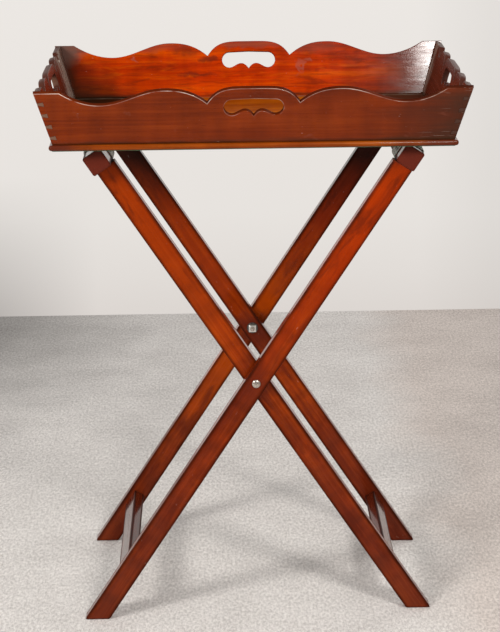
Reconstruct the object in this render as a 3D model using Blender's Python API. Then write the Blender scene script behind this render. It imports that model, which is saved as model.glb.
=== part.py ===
"""A butler's tray: a flared mahogany tray with scalloped, pierced sides,
on an X-frame stand that folds about two bolts and is held open by webbing."""

import math

import bmesh
import bpy
from mathutils import Vector

# Clearances. Pieces that touch are kept this far apart, and cutters run this far past a face.
FIT_GAP = 0.0003
OVERRUN = 0.002

# The open stand. Its legs cross at one height and lean by the same angle either way.
PIVOT_HEIGHT = 0.423
LEG_LEAN_DEG = 33.3
LEG_WIDTH = 0.0354
LEG_THICKNESS = 0.0225
STAND_DEPTH = 0.368

# Top rails, square bars across the legs' upper ends, a little proud of the legs' outer edges.
RAIL_FROM_PIVOT = 0.4552
RAIL_SIDE = 0.034
RAIL_EDGE_RADIUS = 0.003
RAIL_OFFSET = 0.003
RAIL_END_REACH = 0.001

# Low stretchers, flat bars between the legs of each frame, lying in line with the legs.
STRETCHER_FROM_PIVOT = 0.4068
STRETCHER_WIDTH = 0.034
STRETCHER_THICKNESS = 0.019

# Tenons of the legs in the rails, and of the stretchers in the legs.
LEG_TENON_WIDTH = 0.020
LEG_TENON_THICKNESS = 0.010
LEG_TENON_LENGTH = 0.016
STRETCHER_TENON_WIDTH = 0.023
STRETCHER_TENON_THICKNESS = 0.009
STRETCHER_TENON_LENGTH = 0.014

# Pivot bolts with a washer between the legs, and a washer and a square nut inside.
BOLT_RADIUS = 0.004
BOLT_HEAD_RADIUS = 0.0073
BOLT_HEAD_HEIGHT = 0.004
BOLT_END_REACH = 0.002
SPACER_RADIUS = 0.011
SPACER_THICKNESS = 0.0012
NUT_WASHER_RADIUS = 0.010
NUT_WASHER_THICKNESS = 0.0015
NUT_SIDE = 0.013
NUT_THICKNESS = 0.006

# Webbing straps from rail to rail, just inside the legs, wrapped round each rail and tacked to its inner face.
STRAP_WIDTH = 0.046
STRAP_THICKNESS = 0.0016
STRAP_LEG_CLEARANCE = 0.004
STRAP_TAIL_SHARE = 0.68
TACK_HEAD_RADIUS = 0.0035
TACK_HEAD_HEIGHT = 0.001
TACK_SHANK_RADIUS = 0.0009
TACK_SHANK_LENGTH = 0.008
TACK_PLACE_SHARE = 0.36
TACK_SPREAD_SHARE = 0.6
TACKS_PER_END = 3

# The tray. Lengths and depths are outside sizes, at the top of the corners.
TRAY_TOP_LENGTH = 0.690
TRAY_TOP_DEPTH = 0.476
WALL_FLARE = 0.025
WALL_THICKNESS = 0.010
CORNER_HEIGHT = 0.087
BASE_THICKNESS = 0.009
BASE_OVERHANG = 0.006
BASE_EDGE_RADIUS = 0.0038
FLOOR_RISE = 0.001
BAIZE_THICKNESS = 0.001
BAIZE_INSET = 0.005

# Scalloped top edges, as heights of the outer face above the base.
LONG_ARCH_HEIGHT = 0.091
LONG_HUMP_HEIGHT = 0.089
LONG_CUSP_HEIGHT = 0.0665
LONG_SCOOP_HEIGHT = 0.0655
END_ARCH_HEIGHT = 0.088
END_HUMP_HEIGHT = 0.088
END_CUSP_HEIGHT = 0.0655
END_SCOOP_HEIGHT = 0.072

# Places along the top edge, as shares of the way from the arch's cusp to the corner.
LONG_HUMP_SHARE = 0.249
LONG_SCOOP_SHARE = 0.621
FRONT_FLAT_SHARE = 0.851
BACK_FLAT_SHARE = 0.8768
END_HUMP_SHARE = 0.199
END_SCOOP_SHARE = 0.466
END_FLAT_SHARE = 0.618
END_PATTERN_SHIFT = 0.014

# How sharply the scoop, the rise to the hump, the fall from it and the arch bend, as powers.
LONG_POWERS = (2.0, 1.0, 2.5, 4.6)
END_POWERS = (1.6, 2.0, 4.0, 7.0)
CURVE_STEPS = 8

# The pierced hand grip under each arch, as heights of the outer face above the base.
GRIP_LENGTH = 0.0946
GRIP_TOP_HEIGHT = 0.0737
GRIP_TOP_DROP = 0.0012
GRIP_LOBE_HEIGHT = 0.046
GRIP_HUMP_HEIGHT = 0.0533
GRIP_CUSP_HEIGHT = 0.0445
GRIP_LOBE_SHARE = 0.73
GRIP_HUMP_SHARE = 0.285
GRIP_CUSP_POWER = 2.2
ARCH_END_WOOD = 0.0259

# Dovetails. The ends' narrow pins show on the front and back faces.
PIN_COUNT = 4
PIN_FIRST_HEIGHT = 0.012
PIN_PITCH = 0.019
PIN_EDGE_HEIGHT = 0.0036
PIN_ROOT_HEIGHT = 0.0068
PIN_INSET = 0.0002

# Screws up through the base into the walls, under the baize.
SCREW_HEAD_RADIUS = 0.0032
SCREW_SHANK_RADIUS = 0.0014
SCREW_BITE = 0.007
SCREW_HEAD_LAND = 0.0004
LONG_SCREW_SHARE = 0.78

# Smoothness of round pieces.
ROUND_SIDES = 16
SMALL_SIDES = 10
CORNER_STEPS = 4

# Sizes worked out from the ones above.
LEAN = math.radians(LEG_LEAN_DEG)
HALF_STAND = STAND_DEPTH / 2
INNER_LEG_FACE = HALF_STAND - LEG_THICKNESS - SPACER_THICKNESS - 2 * FIT_GAP
RAIL_HALF = RAIL_SIDE / 2
RAIL_CORE = RAIL_HALF - RAIL_EDGE_RADIUS
RAIL_CENTRE_UP = RAIL_FROM_PIVOT * math.cos(LEAN) - RAIL_OFFSET * math.sin(LEAN)
RAIL_TOP = PIVOT_HEIGHT + RAIL_CENTRE_UP + RAIL_CORE * (math.cos(LEAN) + math.sin(LEAN)) + RAIL_EDGE_RADIUS
STRAP_TOP = RAIL_TOP + FIT_GAP + STRAP_THICKNESS
TRAY_BOTTOM = STRAP_TOP + FIT_GAP
BASE_BOTTOM = TRAY_BOTTOM + BAIZE_THICKNESS + FIT_GAP
BASE_TOP = BASE_BOTTOM + BASE_THICKNESS
FLARE = math.atan(WALL_FLARE / CORNER_HEIGHT)
WALL_RUN = WALL_THICKNESS / math.cos(FLARE)
HALF_LENGTH = TRAY_TOP_LENGTH / 2 - WALL_FLARE
HALF_DEPTH = TRAY_TOP_DEPTH / 2 - WALL_FLARE
CUSP_AT = GRIP_LENGTH / 2 + ARCH_END_WOOD
RAIL_CENTRE_X = RAIL_FROM_PIVOT * math.sin(LEAN) + RAIL_OFFSET * math.cos(LEAN)
STRAP_SLANT = (HALF_STAND - INNER_LEG_FACE) / 2 / RAIL_CENTRE_X
STRAP_EDGE = (HALF_STAND + INNER_LEG_FACE) / 2 - LEG_THICKNESS - STRAP_LEG_CLEARANCE

# Colours, roughness and metallic value of each material.
FINISHES = {
    "tray_mahogany": ((0.27, 0.055, 0.022), 0.24, 0.0),
    "base_mahogany": ((0.42, 0.10, 0.02), 0.28, 0.0),
    "leg_mahogany": ((0.25, 0.05, 0.015), 0.3, 0.0),
    "rail_mahogany": ((0.17, 0.035, 0.018), 0.28, 0.0),
    "green_baize": ((0.05, 0.16, 0.07), 0.95, 0.0),
    "grey_webbing": ((0.55, 0.53, 0.48), 0.9, 0.0),
    "bright_steel": ((0.62, 0.60, 0.57), 0.25, 1.0),
    "dark_steel": ((0.10, 0.09, 0.085), 0.45, 1.0),
}


def clear_scene():
    for thing in list(bpy.data.objects):
        bpy.data.objects.remove(thing, do_unlink=True)


def finish_material(name):
    if name in bpy.data.materials:
        return bpy.data.materials[name]
    colour, roughness, metallic = FINISHES[name]
    material = bpy.data.materials.new(name)
    material.use_nodes = True
    shader = material.node_tree.nodes["Principled BSDF"]
    shader.inputs["Base Color"].default_value = (*colour, 1.0)
    shader.inputs["Roughness"].default_value = roughness
    shader.inputs["Metallic"].default_value = metallic
    material.diffuse_color = (*colour, 1.0)
    return material


def add_object(name, bm, finish, origin=(0, 0, 0), parent=None):
    """Turns a bmesh in world coordinates into an object whose origin is at the given place."""
    bmesh.ops.recalc_face_normals(bm, faces=bm.faces)
    bmesh.ops.translate(bm, verts=bm.verts, vec=-Vector(origin))
    mesh = bpy.data.meshes.new(name)
    bm.to_mesh(mesh)
    bm.free()
    thing = bpy.data.objects.new(name, mesh)
    bpy.context.collection.objects.link(thing)
    thing.location = origin
    if parent:
        thing.parent = parent
        thing.location = Vector(origin) - parent.location
    thing.data.materials.append(finish_material(finish))
    return thing


def add_cutter(name, bm):
    cutter = add_object(name, bm, "dark_steel")
    cutter.hide_render = True
    cutter.display_type = "WIRE"
    return cutter


def boolean(target, operand, operation):
    step = target.modifiers.new(operand.name, "BOOLEAN")
    step.operation = operation
    step.object = operand
    step.solver = "EXACT"


def cut(target, name, bm):
    boolean(target, add_cutter(name, bm), "DIFFERENCE")


def join(target, name, bm):
    boolean(target, add_cutter(name, bm), "UNION")


def shade_round(thing):
    thing.data.shade_smooth()
    thing.data.set_sharp_from_angle(angle=math.radians(40))


def prism(outline, low, high):
    """Extrudes an outline of (x, z) points along Y, from low to high."""
    bm = bmesh.new()
    near = [bm.verts.new((x, low, z)) for x, z in outline]
    face = bm.faces.new(near)
    grown = bmesh.ops.extrude_face_region(bm, geom=[face])["geom"]
    moved = [v for v in grown if isinstance(v, bmesh.types.BMVert)]
    bmesh.ops.translate(bm, verts=moved, vec=(0, high - low, 0))
    return bm


def turned(profile, sides, centre, axis):
    """Turns a closed profile of (radius, height) points round an axis through a centre."""
    bm = bmesh.new()
    turn = Vector((0, 0, 1)).rotation_difference(Vector(axis)).to_matrix()
    rings = []
    for radius, height in profile:
        if radius == 0:
            rings.append([bm.verts.new(Vector(centre) + turn @ Vector((0, 0, height)))])
            continue
        ring = []
        for i in range(sides):
            angle = 2 * math.pi * (i + 0.5) / sides
            spot = Vector((radius * math.cos(angle), radius * math.sin(angle), height))
            ring.append(bm.verts.new(Vector(centre) + turn @ spot))
        rings.append(ring)
    for low, high in zip(rings, rings[1:] + rings[:1]):
        for i in range(sides):
            j = (i + 1) % sides
            corners = [low[i % len(low)], low[j % len(low)], high[j % len(high)], high[i % len(high)]]
            corners = list(dict.fromkeys(corners))
            if len(corners) > 2:
                bm.faces.new(corners)
    return bm


def rod(radius, length, sides, centre, axis):
    return turned([(0, 0), (radius, 0), (radius, length), (0, length)], sides, centre, axis)


def washer(radius, hole, thickness, centre, axis):
    profile = [(hole, 0), (radius, 0), (radius, thickness), (hole, thickness)]
    return turned(profile, ROUND_SIDES, centre, axis)


def leg_axes(lean_way):
    """The leg's upward direction and its outward side, as (x, z), for a leg leaning right (1) or left (-1)."""
    along = Vector((lean_way * math.sin(LEAN), math.cos(LEAN)))
    outward = Vector((lean_way * math.cos(LEAN), -math.sin(LEAN)))
    return along, outward


def leg_place(lean_way, up, out):
    """The (x, z) place a given way up the leg from its pivot, and out from its middle line."""
    along, outward = leg_axes(lean_way)
    return Vector((0, PIVOT_HEIGHT)) + along * up + outward * out


def bar_outline(lean_way, low, high, half_width):
    """A rectangle in line with the leg, from low to high along it."""
    places = [(low, -half_width), (low, half_width), (high, half_width), (high, -half_width)]
    return [leg_place(lean_way, up, out) for up, out in places]


def leg_outline(lean_way):
    """A leg's face: square at the top under its rail, and cut flat on the floor."""
    half = LEG_WIDTH / 2
    top = RAIL_FROM_PIVOT - RAIL_HALF - FIT_GAP
    foot_x = -lean_way * PIVOT_HEIGHT * math.tan(LEAN)
    foot_half = half / math.cos(LEAN)
    upper = [leg_place(lean_way, top, half), leg_place(lean_way, top, -half)]
    return [(foot_x - lean_way * foot_half, 0), (foot_x + lean_way * foot_half, 0), *upper]


def tenon_box(lean_way, low, high, y_middle, gap):
    half = LEG_TENON_WIDTH / 2 + gap
    thick = LEG_TENON_THICKNESS / 2 + gap
    return prism(bar_outline(lean_way, low, high, half), y_middle - thick, y_middle + thick)


def stretcher_bar(lean_way, width, thickness, half_length):
    low = -STRETCHER_FROM_PIVOT - width / 2
    outline = bar_outline(lean_way, low, low + width, thickness / 2)
    return prism(outline, -half_length, half_length)


def stretcher_tenon(lean_way, gap, half_length):
    width = STRETCHER_TENON_WIDTH + 2 * gap
    thickness = STRETCHER_TENON_THICKNESS + 2 * gap
    return stretcher_bar(lean_way, width, thickness, half_length)


def make_leg(name, lean_way, outer_face, front, parent):
    """One leg, with its tenon, its stretcher mortise and its bolt hole."""
    low, high = sorted((front * outer_face, front * (outer_face - LEG_THICKNESS)))
    leg = add_object(name, prism(leg_outline(lean_way), low, high), "leg_mahogany", pivot(), parent)
    middle = (low + high) / 2
    shoulder = RAIL_FROM_PIVOT - RAIL_HALF - FIT_GAP
    tenon = tenon_box(lean_way, shoulder - OVERRUN, shoulder + LEG_TENON_LENGTH, middle, 0)
    join(leg, name + "_tenon", tenon)
    reach = outer_face - LEG_THICKNESS + STRETCHER_TENON_LENGTH + FIT_GAP
    cut(leg, name + "_mortise", stretcher_tenon(lean_way, FIT_GAP, reach))
    hole = rod(BOLT_RADIUS + FIT_GAP, high - low + 2 * OVERRUN, ROUND_SIDES,
               (0, low - OVERRUN, PIVOT_HEIGHT), (0, 1, 0))
    cut(leg, name + "_bolt_hole", hole)
    return leg


def rail_centre(lean_way):
    return leg_place(lean_way, RAIL_FROM_PIVOT, RAIL_OFFSET)


def rounded_square(lean_way, grow=0.0):
    """The rail's section, or a line outside it. Its eased corners come in the order inner top, outer top,
    outer bottom, inner bottom."""
    along, outward = leg_axes(lean_way)
    centre = rail_centre(lean_way)
    turns = [(along, -outward), (outward, along), (-along, outward), (-outward, -along)]
    outline = []
    for towards, away in turns:
        corner = centre + (towards + away) * RAIL_CORE
        for i in range(CORNER_STEPS + 1):
            angle = math.pi / 2 * i / CORNER_STEPS
            spoke = away * math.cos(angle) + towards * math.sin(angle)
            outline.append(corner + spoke * (RAIL_EDGE_RADIUS + grow))
    return outline


def make_rail(name, lean_way, leg_outer_face, parent):
    """A top rail with two mortises for its legs' tenons."""
    half = HALF_STAND + RAIL_END_REACH
    rail = add_object(name, prism(rounded_square(lean_way), -half, half), "rail_mahogany", pivot(), parent)
    low = RAIL_FROM_PIVOT - RAIL_HALF - OVERRUN
    high = RAIL_FROM_PIVOT - RAIL_HALF + LEG_TENON_LENGTH
    for side, way in (("front", -1), ("back", 1)):
        middle = way * (leg_outer_face - LEG_THICKNESS / 2)
        cut(rail, name + "_mortise_" + side, tenon_box(lean_way, low, high, middle, FIT_GAP))
    for spot, facing in tack_spots(lean_way):
        depth = TACK_SHANK_LENGTH + FIT_GAP
        hole = rod(TACK_SHANK_RADIUS + FIT_GAP, depth + OVERRUN, SMALL_SIDES,
                   spot - facing * depth, facing)
        cut(rail, name + "_tack_hole", hole)
    return rail


def make_stretcher(name, lean_way, leg_outer_face, parent):
    """A low stretcher between two legs, with a tenon at each end."""
    half = leg_outer_face - LEG_THICKNESS - FIT_GAP
    bar = stretcher_bar(lean_way, STRETCHER_WIDTH, STRETCHER_THICKNESS, half)
    stretcher = add_object(name, bar, "leg_mahogany", pivot(), parent)
    join(stretcher, name + "_tenons", stretcher_tenon(lean_way, 0, half + STRETCHER_TENON_LENGTH))
    return stretcher


def pivot():
    return Vector((0, 0, PIVOT_HEIGHT))


def make_pivot(side, way, parent):
    """The bolt, washers and nut of one crossing. The bolt's head is outside, its nut between the frames."""
    inward = (0, -way, 0)

    def at(depth):
        return (0, way * depth, PIVOT_HEIGHT)

    nut_seat = INNER_LEG_FACE - LEG_THICKNESS - FIT_GAP
    nut_face = nut_seat - NUT_WASHER_THICKNESS - FIT_GAP
    bolt_end = nut_face - NUT_THICKNESS - BOLT_END_REACH
    head = HALF_STAND + FIT_GAP
    dome = [(BOLT_HEAD_RADIUS * math.cos(a), -BOLT_HEAD_HEIGHT * math.sin(a))
            for a in [math.pi / 2 * i / CORNER_STEPS for i in range(CORNER_STEPS)]]
    profile = [(0, -BOLT_HEAD_HEIGHT), *reversed(dome), (BOLT_RADIUS, 0),
               (BOLT_RADIUS, head - bolt_end), (0, head - bolt_end)]
    bolt = add_object("pivot_bolt_" + side, turned(profile, ROUND_SIDES, at(head), inward),
                      "bright_steel", pivot(), parent)
    hole = BOLT_RADIUS + FIT_GAP
    spacer = washer(SPACER_RADIUS, hole, SPACER_THICKNESS, at(HALF_STAND - LEG_THICKNESS - FIT_GAP), inward)
    spacer = add_object("spacer_washer_" + side, spacer, "dark_steel", pivot(), parent)
    plate = washer(NUT_WASHER_RADIUS, hole, NUT_WASHER_THICKNESS, at(nut_seat), inward)
    plate = add_object("nut_washer_" + side, plate, "dark_steel", pivot(), parent)
    half = NUT_SIDE / 2
    square = [(-half, PIVOT_HEIGHT - half), (half, PIVOT_HEIGHT - half),
              (half, PIVOT_HEIGHT + half), (-half, PIVOT_HEIGHT + half)]
    low, high = sorted((way * nut_face, way * (nut_face - NUT_THICKNESS)))
    nut = add_object("pivot_nut_" + side, prism(square, low, high), "bright_steel", pivot(), parent)
    bore = rod(hole, NUT_THICKNESS + 2 * OVERRUN, ROUND_SIDES, (0, low - OVERRUN, PIVOT_HEIGHT), (0, 1, 0))
    cut(nut, "pivot_nut_bore_" + side, bore)
    for piece in (bolt, spacer, plate):
        shade_round(piece)


def strap_half_path():
    """The strap's middle line from the stand's middle over the right rail and round it, as (x, z) points."""
    along, outward = leg_axes(1)
    grow = FIT_GAP + STRAP_THICKNESS / 2
    section = rounded_square(1, grow)
    steps = CORNER_STEPS + 1
    first_corner = rail_centre(1) + (along - outward) * RAIL_CORE
    radius = RAIL_EDGE_RADIUS + grow
    path = [Vector((0, first_corner.y + radius))]
    for i in range(steps):
        angle = LEAN * i / CORNER_STEPS
        path.append(first_corner + Vector((math.sin(angle), math.cos(angle))) * radius)
    path += section[steps:]
    tail_low = section[-1]
    tail_high = tail_low + along * (2 * RAIL_CORE) * STRAP_TAIL_SHARE
    return path + [tail_high]


def band_outline(path, thickness):
    """A closed outline of even thickness along an open path of (x, z) points."""
    left, right = [], []
    for i, spot in enumerate(path):
        before = path[max(i - 1, 0)]
        after = path[min(i + 1, len(path) - 1)]
        run = (after - before).normalized()
        side = Vector((-run.y, run.x)) * thickness / 2
        left.append(spot + side)
        right.append(spot - side)
    return left + right[::-1]


def strap_path():
    half = strap_half_path()
    mirrored = [Vector((-spot.x, spot.y)) for spot in half[:0:-1]]
    return mirrored + half[1:]


def tack_spots(lean_way):
    """Where each tack enters a rail's inner face, and the way that the face looks, as 3-D vectors."""
    along, outward = leg_axes(lean_way)
    low = rail_centre(lean_way) - outward * RAIL_HALF - along * RAIL_CORE
    place = low + along * (2 * RAIL_CORE) * TACK_PLACE_SHARE
    facing = Vector((-outward.x, 0, -outward.y))
    spots = []
    for way in (-1, 1):
        middle = way * (STRAP_EDGE - STRAP_WIDTH / 2 + STRAP_SLANT * place.x)
        for i in range(TACKS_PER_END):
            share = i / (TACKS_PER_END - 1) - 0.5
            spots.append((Vector((place.x, middle + share * TACK_SPREAD_SHARE * STRAP_WIDTH, place.y)), facing))
    return spots


def make_strap(name, way):
    """One webbing strap, slanted to stay beside the legs, with the holes that its tacks pass through."""
    low, high = sorted((way * STRAP_EDGE, way * (STRAP_EDGE - STRAP_WIDTH)))
    bm = prism(band_outline(strap_path(), STRAP_THICKNESS), low, high)
    for vertex in bm.verts:
        vertex.co.y += way * STRAP_SLANT * vertex.co.x
    strap = add_object(name, bm, "grey_webbing")
    for lean_way in (-1, 1):
        for spot, facing in tack_spots(lean_way):
            if way * spot.y > 0:
                length = FIT_GAP + STRAP_THICKNESS + 2 * OVERRUN
                hole = rod(TACK_SHANK_RADIUS + FIT_GAP, length, SMALL_SIDES, spot - facing * OVERRUN, facing)
                cut(strap, name + "_tack_hole", hole)
    return strap


def make_tacks(frame_name, lean_way, parent):
    """The tacks of one rail: a domed head over the strap, and a shank in the rail."""
    lift = 2 * FIT_GAP + STRAP_THICKNESS
    profile = [
        (0, -TACK_SHANK_LENGTH),
        (TACK_SHANK_RADIUS, -TACK_SHANK_LENGTH),
        (TACK_SHANK_RADIUS, lift),
        (TACK_HEAD_RADIUS, lift),
        (TACK_HEAD_RADIUS * math.cos(math.pi / 4), lift + TACK_HEAD_HEIGHT * math.sin(math.pi / 4)),
        (0, lift + TACK_HEAD_HEIGHT),
    ]
    for number, (spot, facing) in enumerate(tack_spots(lean_way), start=1):
        tack = turned(profile, SMALL_SIDES, spot, facing)
        name = frame_name + "_strap_tack_" + str(number)
        shade_round(add_object(name, tack, "dark_steel", spot, parent))


def make_base():
    """The tray's bottom board: a rounded edge, a floor a little higher than the ledge under the walls,
    and countersunk screw holes from below."""
    half_x = HALF_LENGTH + BASE_OVERHANG
    half_y = HALF_DEPTH + BASE_OVERHANG
    corners = [(-half_x, BASE_BOTTOM), (half_x, BASE_BOTTOM), (half_x, BASE_TOP), (-half_x, BASE_TOP)]
    bm = prism(corners, -half_y, half_y)
    bmesh.ops.bevel(bm, geom=bm.edges[:], offset=BASE_EDGE_RADIUS, segments=CORNER_STEPS,
                    profile=0.5, affect="EDGES", clamp_overlap=True)
    base = add_object("tray_bottom", bm, "base_mahogany", (0, 0, BASE_BOTTOM))
    floor_x = HALF_LENGTH - WALL_RUN - FIT_GAP
    floor_y = HALF_DEPTH - WALL_RUN - FIT_GAP
    floor_high = BASE_TOP + FLOOR_RISE
    floor = [(-floor_x, BASE_BOTTOM + BASE_EDGE_RADIUS), (floor_x, BASE_BOTTOM + BASE_EDGE_RADIUS),
             (floor_x, floor_high), (-floor_x, floor_high)]
    join(base, "tray_floor", prism(floor, -floor_y, floor_y))
    for number, (x, y) in enumerate(screw_places(), start=1):
        shape = screw_profile(FIT_GAP, OVERRUN)
        cut(base, "base_screw_hole_" + str(number), turned(shape, SMALL_SIDES, (x, y, BASE_BOTTOM), (0, 0, 1)))
    return base


def make_baize():
    """The thin cloth lining glued under the tray."""
    half_x = HALF_LENGTH + BASE_OVERHANG - BAIZE_INSET
    half_y = HALF_DEPTH + BASE_OVERHANG - BAIZE_INSET
    high = TRAY_BOTTOM + BAIZE_THICKNESS
    corners = [(-half_x, TRAY_BOTTOM), (half_x, TRAY_BOTTOM), (half_x, high), (-half_x, high)]
    return add_object("baize_lining", prism(corners, -half_y, half_y), "green_baize", (0, 0, TRAY_BOTTOM))


def screw_places():
    """Where the screws come up, under the middle of each wall."""
    inset = WALL_RUN / 2
    reach = HALF_LENGTH * LONG_SCREW_SHARE
    places = [(x, way * (HALF_DEPTH - inset)) for way in (-1, 1) for x in (-reach, 0, reach)]
    return places + [(way * (HALF_LENGTH - inset), 0) for way in (-1, 1)]


def screw_profile(gap, below):
    """A countersunk screw's outline, upwards from just inside the base's underside."""
    head = SCREW_HEAD_RADIUS + gap
    shank = SCREW_SHANK_RADIUS + gap
    start = SCREW_HEAD_LAND - gap - below
    taper = SCREW_HEAD_LAND + SCREW_HEAD_RADIUS - SCREW_SHANK_RADIUS
    tip = BASE_THICKNESS + SCREW_BITE + gap
    return [(0, start), (head, start), (head, SCREW_HEAD_LAND), (shank, taper), (shank, tip), (0, tip)]


def make_screws():
    for number, (x, y) in enumerate(screw_places(), start=1):
        bm = turned(screw_profile(0, 0), SMALL_SIDES, (x, y, BASE_BOTTOM), (0, 0, 1))
        shade_round(add_object("base_screw_" + str(number), bm, "dark_steel", (x, y, BASE_BOTTOM)))


def ease(share):
    return (1 - math.cos(math.pi * share)) / 2


def top_edge(half_length, heights, shares, powers):
    """Half of a wall's top edge, from the start of its corner flat to the middle, as (along, height) points."""
    arch, hump, cusp, scoop = heights
    scoop_power, rise_power, fall_power, arch_power = powers
    hump_at, scoop_at, flat_at = [CUSP_AT + share * (half_length - CUSP_AT) for share in shares]
    points = []
    for i in range(CURVE_STEPS):
        share = i / CURVE_STEPS
        height = scoop + (CORNER_HEIGHT - scoop) * (1 - share) ** scoop_power
        points.append((flat_at + (scoop_at - flat_at) * share, height))
    for i in range(CURVE_STEPS):
        share = i / CURVE_STEPS
        height = scoop + (hump - scoop) * ease(1 - (1 - share) ** rise_power)
        points.append((scoop_at + (hump_at - scoop_at) * share, height))
    for i in range(CURVE_STEPS):
        share = i / CURVE_STEPS
        points.append((hump_at + (CUSP_AT - hump_at) * share, hump - (hump - cusp) * share ** fall_power))
    for i in range(CURVE_STEPS + 1):
        share = math.cos(math.pi / 2 * i / CURVE_STEPS)
        points.append((CUSP_AT * share, arch - (arch - cusp) * share ** arch_power))
    return points


def grip_outline():
    """The pierced hand grip: round ends, a nearly straight top, and a bottom of two lobes and a cusp."""
    half = GRIP_LENGTH / 2
    lobe_at = half * GRIP_LOBE_SHARE
    hump_at = half * GRIP_HUMP_SHARE
    shoulder = GRIP_TOP_HEIGHT - GRIP_TOP_DROP
    middle = (shoulder + GRIP_LOBE_HEIGHT) / 2
    rise = (shoulder - GRIP_LOBE_HEIGHT) / 2
    right = []
    for i in range(CURVE_STEPS):
        share = i / CURVE_STEPS
        fall = (GRIP_HUMP_HEIGHT - GRIP_CUSP_HEIGHT) * (1 - share) ** GRIP_CUSP_POWER
        right.append((hump_at * share, GRIP_HUMP_HEIGHT - fall))
    for i in range(CURVE_STEPS):
        share = i / CURVE_STEPS
        drop = (GRIP_HUMP_HEIGHT - GRIP_LOBE_HEIGHT) * ease(share)
        right.append((hump_at + (lobe_at - hump_at) * share, GRIP_HUMP_HEIGHT - drop))
    for i in range(CURVE_STEPS + 1):
        angle = math.pi * i / CURVE_STEPS - math.pi / 2
        right.append((lobe_at + (half - lobe_at) * math.cos(angle), middle + rise * math.sin(angle)))
    right.append((0, GRIP_TOP_HEIGHT))
    return right + [(-along, height) for along, height in right[-2:0:-1]]


def wall_point(side, along, height, depth):
    """A place in a wall, by its run along it, its height on the outer face and its depth from that face."""
    out_half = HALF_DEPTH if side.y else HALF_LENGTH
    out = out_half + height * math.tan(FLARE) - depth * math.cos(FLARE)
    up = height + depth * math.sin(FLARE)
    run = Vector((abs(side.y), abs(side.x), 0))
    return run * along + side * out + Vector((0, 0, BASE_TOP + up))


def wall_end(half_length, height, depth, short):
    """Where a wall stops at a corner, on the slope of the wall that it meets."""
    return half_length - short + (height + depth * math.sin(FLARE)) * math.tan(FLARE)


def wall_loops(side, half_length, edge, shift, short, depth):
    """The outline and the grip of a wall, on the face at a given depth."""
    foot = FIT_GAP - depth * math.sin(FLARE)
    foot_end = wall_end(half_length, foot, depth, short)
    head_end = wall_end(half_length, CORNER_HEIGHT, depth, short)
    right = [(along, height) for along, height in edge]
    left = [(-along, height) for along, height in edge[-2::-1]]
    middle = [(along + shift, height) for along, height in right + left]
    outline = [(-foot_end, foot), (foot_end, foot), (head_end, CORNER_HEIGHT), *middle,
               (-head_end, CORNER_HEIGHT)]
    grip = [(along + shift, height) for along, height in grip_outline()]
    return [[wall_point(side, along, height, depth) for along, height in loop] for loop in (outline, grip)]


def wall_mesh(side, half_length, curve, shift, short):
    """A flared wall: two faces, each with the grip's hole, and the edges between them."""
    edge = top_edge(half_length + WALL_FLARE, *curve)
    bm = bmesh.new()
    faces = []
    for depth in (0, WALL_THICKNESS):
        rings = []
        for loop in wall_loops(side, half_length, edge, shift, short, depth):
            ring = [bm.verts.new(place) for place in loop]
            lines = [bm.edges.new((ring[i - 1], ring[i])) for i in range(len(ring))]
            rings.append((ring, lines))
        bmesh.ops.triangle_fill(bm, edges=rings[0][1] + rings[1][1], use_beauty=True)
        faces.append(rings)
    for (outer, _), (inner, _) in zip(*faces):
        for i in range(len(outer)):
            bm.faces.new((outer[i - 1], outer[i], inner[i], inner[i - 1]))
    return bm


def pin_block(way_x, way_y, height, grow, past):
    """One dovetail pin through the front or back wall, narrow at the corner and wide at its root."""
    bm = bmesh.new()
    edge_x = HALF_LENGTH + past - PIN_INSET
    root_x = HALF_LENGTH - WALL_RUN - grow + PIN_INSET
    out_y = HALF_DEPTH + past
    root_y = HALF_DEPTH - WALL_RUN - OVERRUN
    slope = (PIN_ROOT_HEIGHT - PIN_EDGE_HEIGHT) / 2 / WALL_RUN
    corners = []
    for flat_x in (edge_x, root_x):
        half = PIN_EDGE_HEIGHT / 2 + slope * (HALF_LENGTH - flat_x) + grow
        for up in (height - half, height + half):
            for flat_y in (out_y, root_y):
                lean = up * math.tan(FLARE)
                corners.append(bm.verts.new((way_x * (flat_x + lean), way_y * (flat_y + lean), BASE_TOP + up)))
    for quad in ((0, 1, 3, 2), (4, 5, 7, 6), (0, 1, 5, 4), (2, 3, 7, 6), (0, 2, 6, 4), (1, 3, 7, 5)):
        bm.faces.new([corners[i] for i in quad])
    return bm


def pin_heights():
    return [PIN_FIRST_HEIGHT + i * PIN_PITCH for i in range(PIN_COUNT)]


def drill_wall(wall, side):
    """Pilot holes in a wall's bottom edge for the screws under it."""
    for number, (x, y) in enumerate(screw_places(), start=1):
        under = y * side.y > 0 if side.y else x * side.x > 0 and y == 0
        if under:
            length = BASE_THICKNESS + SCREW_BITE + FIT_GAP
            hole = rod(SCREW_SHANK_RADIUS + FIT_GAP, length, SMALL_SIDES, (x, y, BASE_BOTTOM), (0, 0, 1))
            cut(wall, wall.name + "_screw_hole_" + str(number), hole)


def make_long_wall(name, way):
    """The front or back wall, socketed at its ends for the dovetail pins."""
    side = Vector((0, way, 0))
    heights = (LONG_ARCH_HEIGHT, LONG_HUMP_HEIGHT, LONG_CUSP_HEIGHT, LONG_SCOOP_HEIGHT)
    shares = (LONG_HUMP_SHARE, LONG_SCOOP_SHARE, BACK_FLAT_SHARE if way > 0 else FRONT_FLAT_SHARE)
    bm = wall_mesh(side, HALF_LENGTH, (heights, shares, LONG_POWERS), 0, 0)
    wall = add_object(name, bm, "tray_mahogany", (0, 0, BASE_TOP))
    for way_x in (-1, 1):
        for height in pin_heights():
            cut(wall, name + "_socket", pin_block(way_x, way, height, FIT_GAP, OVERRUN))
    drill_wall(wall, side)
    return wall


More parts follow.
